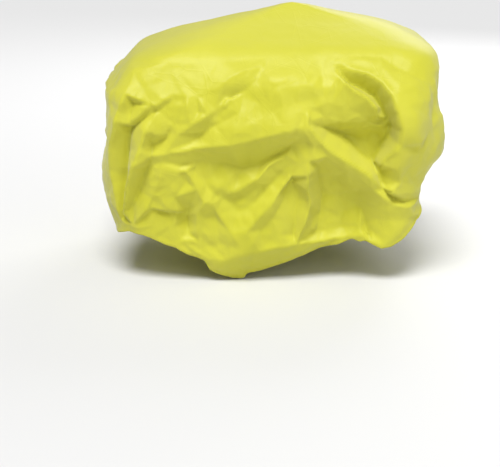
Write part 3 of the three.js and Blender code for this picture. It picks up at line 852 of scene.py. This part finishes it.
def make_pocket(name, way):
    """A crowned pocket with rounded ends, sewn to the tub's side."""
    low, high, middle, size = measures(f"side_pocket_{name}")
    reach = max(abs(low[1]), abs(high[1]))
    behind = 70  # where the pocket's back is, out of sight in the tub's wall
    split = [(10, 40), (10, 12)] * 2
    bottom, top = low[2], high[2]
    rows = [(bottom, 9), (bottom + 1.2, 4.5), (bottom + 4, 1.6), (bottom + 9, 0.3), (bottom + 20, 0),
            (top - 20, 0), (top - 8, 0.3), (top - 3, 1.2), (top - 0.8, 3), (top, 7)]
    grid = []
    for z, inset in fine_rows(rows, 4):
        ring = rounded_ring(low[0] + inset, high[0] - inset, behind, reach - inset, 16, split)
        side = np.maximum(ring[:, 1], wall_y(z) + GAP)
        off_middle = (ring[:, 0] - middle[0]) / (size[0] / 2)
        crown = 1.2 * off_middle ** 2 * smoothstep(reach - 8, reach - 1, side)
        grid.append(np.column_stack([ring[:, 0], side - crown, np.full(len(ring), z)]))
    grid = ruffle(np.array(grid), 0.8, 26, 11 + way)
    grid[..., 1] = way * np.maximum(grid[..., 1], wall_y(grid[..., 2]) + GAP)
    skin = sag(grid)
    add_skin(f"side_pocket_fabric_{name}", skin, "fabric", "bag", f"side_pocket_{name}")
    ring = rounded_ring(low[0] + 11, high[0] - 11, bottom + 10, top - 7, 10, [(5, 20)] * 4)
    run = np.column_stack([ring[:, 0], np.full(len(ring), way * reach), ring[:, 1]])
    return [(on_skin(np.vstack([run, run[:1]]), skin, 1) + 0.1 * way * Y, way * Y)]


def make_reflectors():
    """A strip on each side pocket and one on the rear end, each stitched down all round."""
    thick, lift, margin = 0.6, 0.65, (1.6, 1.4)
    strips = []
    for name, way in SIDES.items():
        low, high, middle, size = measures(f"reflector_{name}")
        centre = middle * (1, 0, 1) + (low[1] if way > 0 else high[1]) * Y
        strips.append((name, centre, -way * X, X, Z, size[[0, 2]], way * Y))
    _, _, middle, size = measures("reflector_rear")
    slope = math.atan2(TAPER[0], RIM - FLOOR)
    v = math.sin(slope) * X + math.cos(slope) * Z
    centre = (HALF_LENGTH - TAPER[0] * (1 - up_share(middle[2])) + GAP) * X + middle[2] * Z
    strips.append(("rear", centre, Y, Y, v, np.array([size[1], 12]), np.cross(Y, v)))
    seams = []
    for name, centre, u, along, v, size, off in strips:
        grid = patch_grid(centre, u, v, (*size, thick), 1.5)
        add_skin(f"reflective_strip_{name}", grid, "reflective", "bag", f"reflector_{name}")
        seams.append(box_seam(centre, along, v, size / 2 - margin, off, lift))
    return seams


def make_rack_straps():
    """A loop of webbing round each place on the rack's rails, closed by a hook-and-loop tail."""
    thick = 2
    split = [(8, 10), (8, 6)] * 2
    covered = slice(8, 22)  # the points of the loop that the tail lies over
    for end in ENDS:
        for side, way in SIDES.items():
            node = f"rack_strap_{end}_{side}"
            _, _, middle, size = measures(node)
            path = upright_ring(plate_ring(size[1:], thick / 2, 5, split), middle)
            loop = strap_grid(path, X, size[0], thick - 0.3, loop=True)
            tail = plate_ring(size[1:], thick / 2 - 0.85 * thick, 6.5, split)[covered] * (-way, 1)
            tail = strap_grid(upright_ring(tail, middle), X, size[0] - 1, 1)
            parts = [grid_object("loop", loop, "webbing", loop=True), grid_object("tail", tail, "webbing")]
            place(join(f"rack_strap_webbing_{end}_{side}", parts), "bag", "webbing", node)


def make_ring_tabs():
    """Webbing that comes down the end of the bag and round the bar of the D-ring."""
    radius, wire = 2.7, 1.4
    seams = []
    for name, way in ENDS.items():
        low, high, _, size = measures(f"d_ring_tab_{name}")
        _, ring_high, ring_middle, _ = measures(f"d_ring_{name}")
        pivot = way * ring_middle[0]
        z, top = ring_high[2] - wire, high[2]
        back = min(abs(low[0]), abs(high[0])) + 0.75
        path = [(back, top), (back, z + 16), (back, z + 8)]
        for degrees in range(180, 450, 15):
            turn = math.radians(degrees)
            path.append((pivot + radius * math.cos(turn), z + radius * math.sin(turn)))
        path = np.array([(way * x, 0, up) for x, up in path])
        grid = strap_grid(path, Y, size[1], 1.2)
        add_skin(f"d_ring_webbing_{name}", grid, "webbing", "bag", f"d_ring_tab_{name}")
        centre = way * (back + 0.7) * X + (top - 8) * Z
        seams.append(box_seam(centre, Y, -Z, (size[1] / 2 - 2.5, 6), way * X, 0, crossed=True))
    return seams


# ---------------------------------------------------------------- seams and hardware

def make_stitching(bag_seams, lid_seams, tub_skin):
    """The stitches of the bag and the lid: the given runs, the zip's tapes, the corners and the lid's rim."""
    margin, lift = 1.4, GAP + 0.95
    line = zip_line(measures("main_zip_lower")[0][2] + margin)
    bag_seams.append((line + outward(line) * lift, outward(line)))
    heights = np.linspace(FLOOR + 16, RIM - 11, 14)
    for end in ENDS.values():
        for side in SIDES.values():
            for shift in (-2, 2):
                y = side * (wall_y(heights) - CORNER + shift)
                run = np.column_stack([np.full(len(heights), end * HALF_LENGTH), y, heights])
                bag_seams.append((on_skin(run, tub_skin, 0) + 0.1 * end * X, end * X))
    line = zip_line(measures("main_zip_upper")[1][2] - margin)
    lid_seams.append((line + outward(line) * lift, outward(line)))
    rim_height, inset = 164.5, 1.6
    ring = bag_ring(rim_height, inset, CORNER + inset)
    ring = np.vstack([ring, ring[:1]])
    lid_seams.append((ring, outward(ring)))
    for body, seams in (("bag", bag_seams), ("lid", lid_seams)):
        place(stitching(f"{body}_stitching", seams), body, "webbing")


def finish_hardware():
    """The pieces that keep their solid's shape: they get their material and softened edges."""
    metal = [f"main_{end}_{part}" for end in ENDS for part in ("slider", "pull_tab")]
    metal += [f"pocket_{side}_{part}" for side in SIDES for part in ("slider", "pull_tab")]
    metal += [f"d_ring_{end}" for end in ENDS]
    for name in metal + ["base_board"]:
        look = LOOKS["metal" if name in metal else "board"][0]
        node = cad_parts[name]
        if not node.material_slots:
            node.data.materials.append(look)
        for slot in node.material_slots:
            slot.material = look
        edge = node.modifiers.new("edge", "BEVEL")
        edge.width = 0.2 * MM
        edge.segments = 2
        edge.angle_limit = math.radians(35)


def make_bag():
    tub_skin = make_tub()
    make_liner()
    make_mat()
    make_divider()
    make_lid()
    make_net()
    make_main_zip()
    make_piping()
    lid_seams = make_handle()
    bag_hinge, lid_hinge = make_hinge()
    bag_seams = bag_hinge + make_reflectors() + make_ring_tabs()
    for name, way in SIDES.items():
        bag_seams += make_pocket(name, way)
        make_pocket_zip(name)
    make_rack_straps()
    make_stitching(bag_seams, lid_seams + lid_hinge, tub_skin)
    finish_hardware()


# ---------------------------------------------------------------- the rain cover

# Each row of the cover, from the hem to the crown:
# height, then how far it reaches to the front, rear, near and far sides, and its corner radius.
COVER_ROWS = [
    (0, -174, 157, -115, 118, 40),
    (27, -181, 155, -118, 121, 46),
    (54, -183, 160, -120, 124, 54),
    (81, -182, 175, -122, 126, 54),
    (108, -181, 179, -127, 127, 54),
    (126, -180, 175, -124, 125, 52),
    (140, -180, 173, -118, 122, 46),
    (152, -172, 172, -112, 116, 42),
    (164, -164, 174, -105, 108, 42),
    (176, -151, 173, -97, 99, 42),
    (186, -128, 164, -85, 86, 44),
    (195, -100, 144, -66, 66, 40),
    (202, -73, 126, -49, 48, 32),
    (208, -48, 102, -34, 34, 22),
    (213, -26, 78, -23, 24, 14),
    (218, -6, 56, -13, 14, 8),
    (222, 8, 38, -5, 6, 4),
    (224, 20, 22, -1, 1, 0.5),
]
CLEAR = 3  # how far the cloth is held off the pockets and the tub
PINCH = 2.2  # how far the folds are pinched at their ridges and valleys, at the most
# Finer crumpling over the folds: its seed, how often it is folded, its slope, and its share on the crown.
CRUMPLES = [(4, 12, 0.11, 0.25), (9, 17, 0.15, 0.15), (23, 24, 0.12, 0.15)]
FOLD_TOP = (10, 5)  # a fold higher than the first is held down, to no more than the two together
# How the cloth stands off the main zip's tabs, in the middle of the near side.
TAB_ROOM = {"height": 150, "half_height": 17, "half_width": 60, "out": 9}
# How many steps each gap between the rows is cut into.
COVER_STEPS = [20, 20, 13, 13, 9, 7, 6, 6, 5, 6, 7, 6, 5, 4, 3, 2, 2]
# Steps round the ring: each corner and the stretch after it, from the near front corner to the front end.
# The near side, where most of the creases are, is cut the finest.
COVER_SPLIT = [(36, 150), (36, 30), (14, 44), (14, 30)]
# The hem turns under: how far in and how far up from the lowest edge.
HEM_TURN = [(5, 2.2), (3.2, 0.8), (1.4, 0.1)]
# Height of the hem along the near and far sides, from the front to the rear: (x, z).
HEM_NEAR = [(-184, 0), (-176, -13), (-167, -12), (-156, -8), (-139, -10), (-115, -20), (-105, -23),
            (-91, -31), (-79, -35), (-73, -38), (-69, -48), (-58, -54), (-44, -59), (-34, -60.5),
            (-31, -59), (-28, -54), (-14, -52), (5, -46), (33, -34), (51, -26), (68, -22), (84, -14),
            (91, -17), (97, -15), (114, -23), (124, -21), (135, -13), (146, 1), (155, 16), (167, 26)]
HEM_FAR = [(-174, 22), (-150, 2), (-120, -12), (-60, -20), (0, -24), (60, -18), (110, -10), (145, 4),
           (165, 24)]


def spline_rows(rows, per_gap):
    """Rows between the given ones, along a Catmull-Rom curve, with the given number in each gap."""
    rows = np.array(rows, float)
    padded = np.vstack([2 * rows[0] - rows[1], rows, 2 * rows[-1] - rows[-2]])
    made = []
    for i, count in enumerate(per_gap):
        a, b, c, d = padded[i:i + 4]
        for t in np.arange(count) / count:
            made.append(0.5 * (2 * b + (c - a) * t + (2 * a - 5 * b + 4 * c - d) * t ** 2
                               + (3 * b - a - 3 * c + d) * t ** 3))
    made.append(rows[-1])
    return np.array(made)


def hem_height(x, y):
    """Height of the hem, which runs from the near side's line to the far side's round the ends."""
    near, far = (np.interp(x, *zip(*line)) for line in (HEM_NEAR, HEM_FAR))
    share = smoothstep(-90, 90, y)
    return near * (1 - share) + far * share


def cover_grid():
    """The smooth cover as rows of rings, an array of [row, column, xyz] in mm."""
    rows = spline_rows(COVER_ROWS, COVER_STEPS)
    rows[:, 5] = np.maximum(rows[:, 5], 0.5)
    grid = []
    straight = COVER_ROWS[2][0]  # from here up the rows are level
    for inset, lift in HEM_TURN:
        z, front, rear, near, far, corner = rows[0]
        ring = rounded_ring(front + inset, rear - inset, near + inset, far - inset, corner, COVER_SPLIT)
        grid.append(np.column_stack([ring, hem_height(*ring.T) + lift]))
    for z, *reach in rows:
        ring = rounded_ring(*reach, COVER_SPLIT)
        level = flat_ring(ring, z)
        if z < straight:
            hem = hem_height(*ring.T)
            level[:, 2] = hem + (straight - hem) * z / straight
        grid.append(level)
    return np.array(grid)


# Crease lines of the near side. Each point is (x, z, out): its place on the side and how far the cloth stands
# out there. The cloth is flat between neighbouring lines, as thin stiff nylon is. After the lines come the
# low and the high corner of the area that they lie in.
NEAR_CREASES = [
    # the roof's edge, where nothing is creased
    [(-190, 176, 0), (-150, 174, 0), (-110, 172, 1), (-60, 172, 0), (-8, 176, 0), (50, 176, 0.5),
     (110, 176, 1), (190, 176, 0)],
    # the long crease where the cover breaks over the side pocket, and the hollow band under it
    [(-130, 78, 3), (-113, 82, 5), (-87, 86, 6.5), (-64, 91, 7.5), (-46, 93, 8), (-26, 97, 8), (-7, 102, 8),
     (17, 107, 8), (24, 109, 7)],
    [(-118, 72, 1), (-96, 68, 0), (-80, 70, -2), (-54, 68, -4), (-34, 62, -6), (-14, 66, -6), (2, 76, -5),
     (18, 88, -2)],
    # the leaf-shaped dimple under the roof
    [(-60, 146, 1), (-46, 156, 2), (-30, 164, 2), (-13, 168, 1)],
    [(-58, 143, 0), (-51, 140, -3), (-44, 140, -4.5), (-31, 145, -5), (-19, 154, -3.5), (-11, 163, 0)],
    [(-60, 128, 0.5), (-36, 124, 0.5), (-14, 132, 0.5), (2, 146, 1)],
    # the lens-shaped facet in front of it
    [(-44, 137, 0), (-50, 131, 2), (-69, 122, 3), (-86, 111, 3), (-101, 101, 3), (-110, 88, 4)],
    [(-50, 129, 0), (-62, 110, -2), (-79, 96, -1), (-96, 89, 3)],
    # soft upright waves and two short creases at the front of the upper side
    [(-81, 140, -1), (-79, 124, -2)],
    [(-91, 140, 1), (-90, 122, 1.5)],
    [(-99, 134, -1.5), (-104, 112, -3), (-110, 98, -1)],
    [(-123, 130, 1), (-115, 136, 1), (-106, 141, 0.5)],
    [(-121, 127, -3), (-113, 132, -3), (-104, 138, -1)],
    [(-154, 112, 0), (-144, 118, 1), (-133, 128, 1.5), (-129, 133, 0.5)],
    [(-154, 108, -2), (-144, 112, -4), (-134, 120, -4), (-129, 129, -1)],
    # upright folds at the front end, which meet at the hem's corner
    [(-136, 178, 0), (-146, 164, 4), (-154, 140, 7), (-162, 112, 8), (-168, 86, 7), (-170, 58, 5),
     (-167, 30, 3), (-164, 4, 1)],
    [(-150, 134, -3), (-154, 106, -9), (-157, 80, -10), (-159, 52, -8), (-161, 28, -5), (-162, 8, -2)],
    [(-134, 104, 5), (-139, 86, 7), (-146, 66, 8), (-153, 42, 7), (-159, 14, 2)],
    [(-127, 86, -5), (-133, 64, -7), (-140, 46, -6), (-150, 22, -3)],
    [(-118, 60, 2), (-126, 38, 3), (-138, 16, 3), (-150, 0, 1)],
    # packing creases low on the front half
    [(-100, 62, 3), (-92, 63, 4), (-81, 44, 5), (-74, 30, 5), (-66, 27, 4)],
    [(-92, 50, 1), (-105, 34, 2), (-112, 22, 4)],
    [(-84, 62, -1), (-72, 48, -2), (-60, 34, -1)],
    [(-131, 22, 2), (-116, 19, 3), (-102, 18, 3)],
    [(-128, 18, -1), (-114, 15, -1), (-103, 14, 0)],
    [(-92, 16, -5), (-93, 4, -7), (-91, -8, -3)],
    [(-104, 14, 1), (-105, 0, 1), (-100, -14, 1)],
    [(-81, 14, 3), (-82, 0, 4), (-80, -16, 2), (-76, -26, 1)],
    [(-66, 27, 4), (-58, 13, 4), (-45, -4, 5), (-34, -22, 6)],
    [(-66, 26, 4), (-60, 8, 1), (-58, -18, 0)],
    # the light ridges of the middle panel
    [(-43, 40, 3), (-31, 46, 4), (-19, 54, 4), (-5, 69, 1), (13, 79, 1)],
    [(-56, 34, 0), (-44, 28, -2), (-30, 34, -1), (-16, 44, -1)],
    [(-34, -26, 6), (-30, -2, 5), (-22, 6, 4), (-1, 30, 4), (17, 55, 2), (27, 69, 2)],
    [(-38, 16, -1), (-22, 26, -2), (-8, 42, -3), (4, 54, -3)],
    [(-14, -2, -1), (-2, 10, -2), (8, 26, -3)],
    [(-4, -14, 2), (4, -8, 2), (20, -16, 3)],
    # the upright fold in the middle, with the hollows on its two sides
    [(34, 92, 4), (36, 74, 7), (35, 58, 8), (35, 42, 9), (38, 27, 8), (33, 6, 6), (27, -8, 4),
     (23, -19, 3)],
    [(14, 66, -1), (19, 52, -5), (23, 32, -6), (23, 6, -5), (21, -10, -2)],
    [(46, 68, -2), (48, 52, -10), (52, 32, -13), (50, 12, -10), (46, -8, -4)],
    [(64, 48, -8), (70, 30, -13), (76, 12, -12), (72, -4, -7)],
    [(86, 36, -6), (92, 18, -9), (98, 2, -8), (100, -8, -3)],
    # the big slanting fold: its sharp lower edge, its crown and where it drops into the hollow
    [(24, 108, 7), (30, 106, 8), (41, 91, 9), (54, 80, 9), (74, 67, 9), (88, 56, 9), (104, 44, 8),
     (122, 26, 7), (134, 8, 6)],
    [(34, 112, 8), (46, 98, 11), (62, 84, 13), (80, 72, 14), (100, 58, 13), (118, 40, 12), (134, 22, 10),
     (142, 10, 8)],
    # the deep hollow above it, whose floor faces down and ends against the fold
    [(36, 114, 4), (50, 107, -6), (64, 98, -17), (78, 89, -24), (93, 77, -26), (104, 68, -20),
     (110, 58, -8)],
    [(50, 121, -2), (68, 114, -9), (84, 104, -16), (100, 92, -22), (111, 80, -20)],
    [(36, 128, 3), (50, 132, 2), (60, 134, 1), (76, 129, -2), (92, 122, -7), (102, 113, -13),
     (112, 102, -17)],
    # the small lit bank inside the hook
    [(60, 168, 2), (66, 160, 3), (73, 151, 5), (84, 143, 6), (95, 137, 5), (103, 129, 1), (107, 120, -6)],
    # the hook's shaded channel, its lip and the lobe's crown
    [(68, 162, 0), (76, 154, -5), (92, 149, -8), (104, 142, -10), (112, 131, -13), (118, 118, -16),
     (121, 106, -18), (120, 94, -18)],
    [(68, 170, 3), (80, 163, 5), (96, 159, 7), (110, 150, 9), (120, 137, 11), (126, 122, 12),
     (130, 108, 13), (128, 96, 12), (122, 86, 9)],
    [(74, 176, 2), (94, 174, 3), (114, 164, 6), (128, 148, 8), (136, 130, 9), (142, 112, 9), (147, 96, 9)],
    # the lobe's edge along the hollow and the slanting fold
    [(122, 86, 9), (114, 76, 4), (111, 68, 1), (110, 58, -1), (113, 46, -2), (122, 34, 0), (134, 26, 3)],
    [(128, 84, 13), (125, 68, 12), (126, 52, 9), (134, 38, 7)],
    [(140, 90, 7), (138, 70, 6), (141, 50, 5), (146, 34, 6)],
    # the rear lower corner
    [(150, 88, 4), (150, 66, 4), (150, 46, 5), (148, 28, 5)],
    [(140, 8, 6), (130, -8, 5), (118, -18, 3)],
    [(112, 24, 2), (108, 8, -3), (104, -6, -2)],
    [(92, -2, -2), (96, -10, 3), (104, -16, 3)],
    # small creases by the rear end
    [(160, 150, 1), (158, 134, 3), (155, 118, 1), (156, 102, 2)],
    [(166, 132, -1), (164, 114, -3), (166, 96, -1)],
    # where the hem turns under
    [(-72, -34, 2), (-53, -35, 4), (-34, -28, 6), (-14, -25, 5), (7, -21, 5), (23, -19, 4), (51, -17, 2),
     (70, -14, 1)],
    [(-70, -52, -3), (-52, -58, -5), (-34, -63, -6), (-12, -53, -6), (10, -44, -5), (36, -31, -3),
     (56, -23, -1)],
], (-200, -85), (200, 190)
# The same for the two ends, with y for x.
FRONT_CREASES = [
    [(-100, 140, 2), (-62, 142, 4), (-20, 140, 3), (30, 141, 4), (64, 141, 4), (100, 140, 2)],
    [(-100, 154, 0), (-40, 158, 1), (20, 154, 0), (100, 156, 0)],
    [(-62, 136, 3), (-64, 96, 3), (-60, 50, 4), (-58, 20, 2)],
    [(-44, 126, -3), (-46, 80, -5), (-44, 30, -3)],
    [(-20, 132, 2), (-26, 84, 4), (-20, 24, 3)],
    [(0, 120, -2), (4, 70, -5), (2, 20, -3)],
    [(28, 136, 2), (30, 96, 4), (42, 40, 4), (40, 14, 2)],
    [(56, 124, -2), (58, 74, -4), (62, 26, -2)],
    [(84, 128, 1), (88, 80, 3), (86, 30, 2)],
], (-130, -40), (130, 175)
REAR_CREASES = [
    [(-95, 160, 0), (-50, 166, 2), (0, 162, 0), (50, 166, 2), (95, 160, 0)],
    [(-92, 100, 4), (-70, 66, 6), (-50, 40, 4), (-44, 26, 1)],
    [(-66, 118, -3), (-50, 84, -6), (-34, 50, -4)],
    [(-40, 144, 2), (-20, 100, 5), (-6, 60, 5), (-4, 30, 2)],
    [(0, 132, -2), (14, 92, -5), (20, 50, -4)],
    [(34, 144, 2), (46, 100, 5), (44, 56, 5), (52, 26, 2)],
    [(72, 120, -3), (72, 76, -5), (76, 34, -2)],
    [(96, 110, 3), (98, 64, 4)],
], (-130, -40), (130, 185)


def facet_field(points, lines, low_corner, high_corner):
    """How far the cloth stands out at each 2-D point: flat between crease lines, nothing at the border."""
    (left, low), (right, high) = low_corner, high_corner
    places, depths, edges = [], [], []
    for line in lines:
        for i, (u, v, out) in enumerate(line):
            if i:
                edges.append((len(places) - 1, len(places)))
            places.append(Vector((u, v)))
            depths.append(out)
    for t in np.linspace(0, 1, 9):
        u, v = left + t * (right - left), low + t * (high - low)
        places += [Vector(p) for p in ((u, low), (u, high), (left, v), (right, v))]
        depths += [0] * 4
    made, _, triangles, sources, _, _ = geometry.delaunay_2d_cdt(places, edges, [], 0, 1e-3)
    made = np.array([tuple(v) for v in made])
    depth = np.array([max((depths[k] for k in s), key=abs) if s else 0.0 for s in sources])
    field = np.zeros(len(points))
    for corners in triangles:
        pa, pb, pc = made[list(corners)]
        da, db, dc = depth[list(corners)]
        (bu, bv), (cu, cv) = pb - pa, pc - pa
        area = bu * cv - cu * bv
        if abs(area) < 1e-6:
            continue
        u, v = (points - pa).T
        wb = (u * cv - v * cu) / area
        wc = (v * bu - u * bv) / area
        inside = (wb >= -1e-6) & (wc >= -1e-6) & (wb + wc <= 1 + 1e-6)
        field[inside] = (da + wb * (db - da) + wc * (dc - da))[inside]
    return field


def crumple(points, seed, folds, slope):
    """Cloth folded flat along straight lines and opened again: crisp facets that all lean by slope."""
    rng = np.random.default_rng(seed)
    folded = points.copy()
    for _ in range(folds):
        way = rng.normal(size=3)
        way /= np.linalg.norm(way)
        middle = rng.uniform(0.35, 0.65)
        along = folded @ way
        line = along.min() + middle * (along.max() - along.min())
        folded += np.outer(np.maximum(2 * (line - along), 0), way)
    way = rng.normal(size=3)
    height = folded @ (way / np.linalg.norm(way))
    return slope * (height - height.mean())


def soften(field, times):
    """Rounds a grid of values a little, row by row and round the ring."""
    for _ in range(times):
        around = (np.roll(field, 1, axis=1) + np.roll(field, -1, axis=1)) / 2
        up = np.vstack([field[:1], (field[:-2] + field[2:]) / 2, field[-1:]])
        field = 0.76 * field + 0.12 * around + 0.12 * up
    return field


def cover_offset(grid, normal):
    """How far each point of the cover stands out of its smooth shape, in mm."""
    points = grid.reshape(-1, 3)
    normals = normal.reshape(-1, 3)
    x, y, z = points.T
    side = points[:, [0, 2]]
    mirrored = side * np.array([-1, 1]) + np.array([6, 4])
    end = points[:, [1, 2]]
    offset = np.zeros(len(points))
    for share, way, plane, creases in (
            (1, -Y, side, NEAR_CREASES), (0.7, Y, mirrored, NEAR_CREASES),
            (1, -X, end, FRONT_CREASES), (1, X, end, REAR_CREASES)):
        offset += share * smoothstep(0.15, 0.6, normals @ way) * facet_field(plane, *creases)
    offset = soften(offset.reshape(grid.shape[:2]), 1).ravel()
    aside = x / TAB_ROOM["half_width"]
    above = (z - TAB_ROOM["height"]) / TAB_ROOM["half_height"]
    offset += TAB_ROOM["out"] * np.exp(-aside ** 2 - above ** 2) * (y < 0)
    walls = smoothstep(190, 120, z)
    for seed, folds, slope, least in CRUMPLES:
        offset += crumple(points, seed, folds, slope) * (least + (1 - least) * walls)
    offset = offset.reshape(grid.shape[:2])
    offset += PINCH * np.tanh((offset - soften(offset, 14)) / PINCH)
    start, more = FOLD_TOP
    return np.where(offset > start, start + more * np.tanh((offset - start) / more), offset)


def keep_clear(points):
    """Holds the cloth off the side pockets and the tub, where a fold would press into them."""
    tub_end, tub_side, tub_top = measures("tub_shell")[1]
    for side, way in SIDES.items():
        low, high, _, _ = measures(f"side_pocket_{side}")
        reach = max(abs(low[1]), abs(high[1])) + CLEAR
        x, y, z = points.T
        beside = (x > low[0] - CLEAR) & (x < high[0] + CLEAR) & (z > low[2] - CLEAR) & (z < high[2] + CLEAR)
        limit = np.where(beside, reach, tub_side + CLEAR) - 20 * smoothstep(4, -16, z)
        held = (way * y > 0.8 * tub_side) & (z < tub_top) & (np.abs(x) <= tub_end - CORNER)
        points[:, 1] = np.where(held, way * np.maximum(way * y, limit), y)
    return points


def make_hem(grid):
    """The hem's inner flap and the elastic that runs in it, round the cover's lowest edge."""
    inner, outer = grid[0], grid[4]
    off = outward(np.vstack([inner[-1:], inner, inner[:1]]))[1:-1]
    grid = sweep(inner - off * 0.6 + 4 * Z, Z, off, tape_section(8, 0.6, 3))
    flap = add_skin("cover_hem_flap", grid, "cover", "rain_cover", "hem_channel", loop=True)
    wave = 0.25 * np.sin(np.arange(len(inner)) * 1.3)[:, None]
    path = (inner + outer) / 2 - off + (2 + wave) * Z
    grid = sweep(path, off, Z, round_section(0.8, 8))
    elastic = add_skin("hem_elastic_cord", grid, "elastic", "rain_cover", "hem_elastic", loop=True)
    return [flap, elastic]


def make_cover():
    grid = cover_grid()
    normal = grid_normals(grid)
    moved = grid + normal * cover_offset(grid, normal)[..., None]
    shift = keep_clear(moved.reshape(-1, 3)).reshape(grid.shape) - grid
    edge = len(HEM_TURN) + 1
    shift[:edge] = shift[edge]
    grid = grid + shift
    cover = grid_object("rain_cover", grid, "cover")
    thick = cover.modifiers.new("thickness", "SOLIDIFY")
    thick.thickness = 0.5 * MM
    thick.offset = -1
    shown = cover.evaluated_get(bpy.context.evaluated_depsgraph_get())
    made = bpy.data.meshes.new_from_object(shown)
    cover.modifiers.clear()
    cover.data = made
    cover.data.shade_smooth()
    place(cover, "rain_cover", "cover_fabric", "rain_cover_shell")
    hem = make_hem(grid)


make_camera()
make_lights()
make_floor()
make_bag()
make_cover()
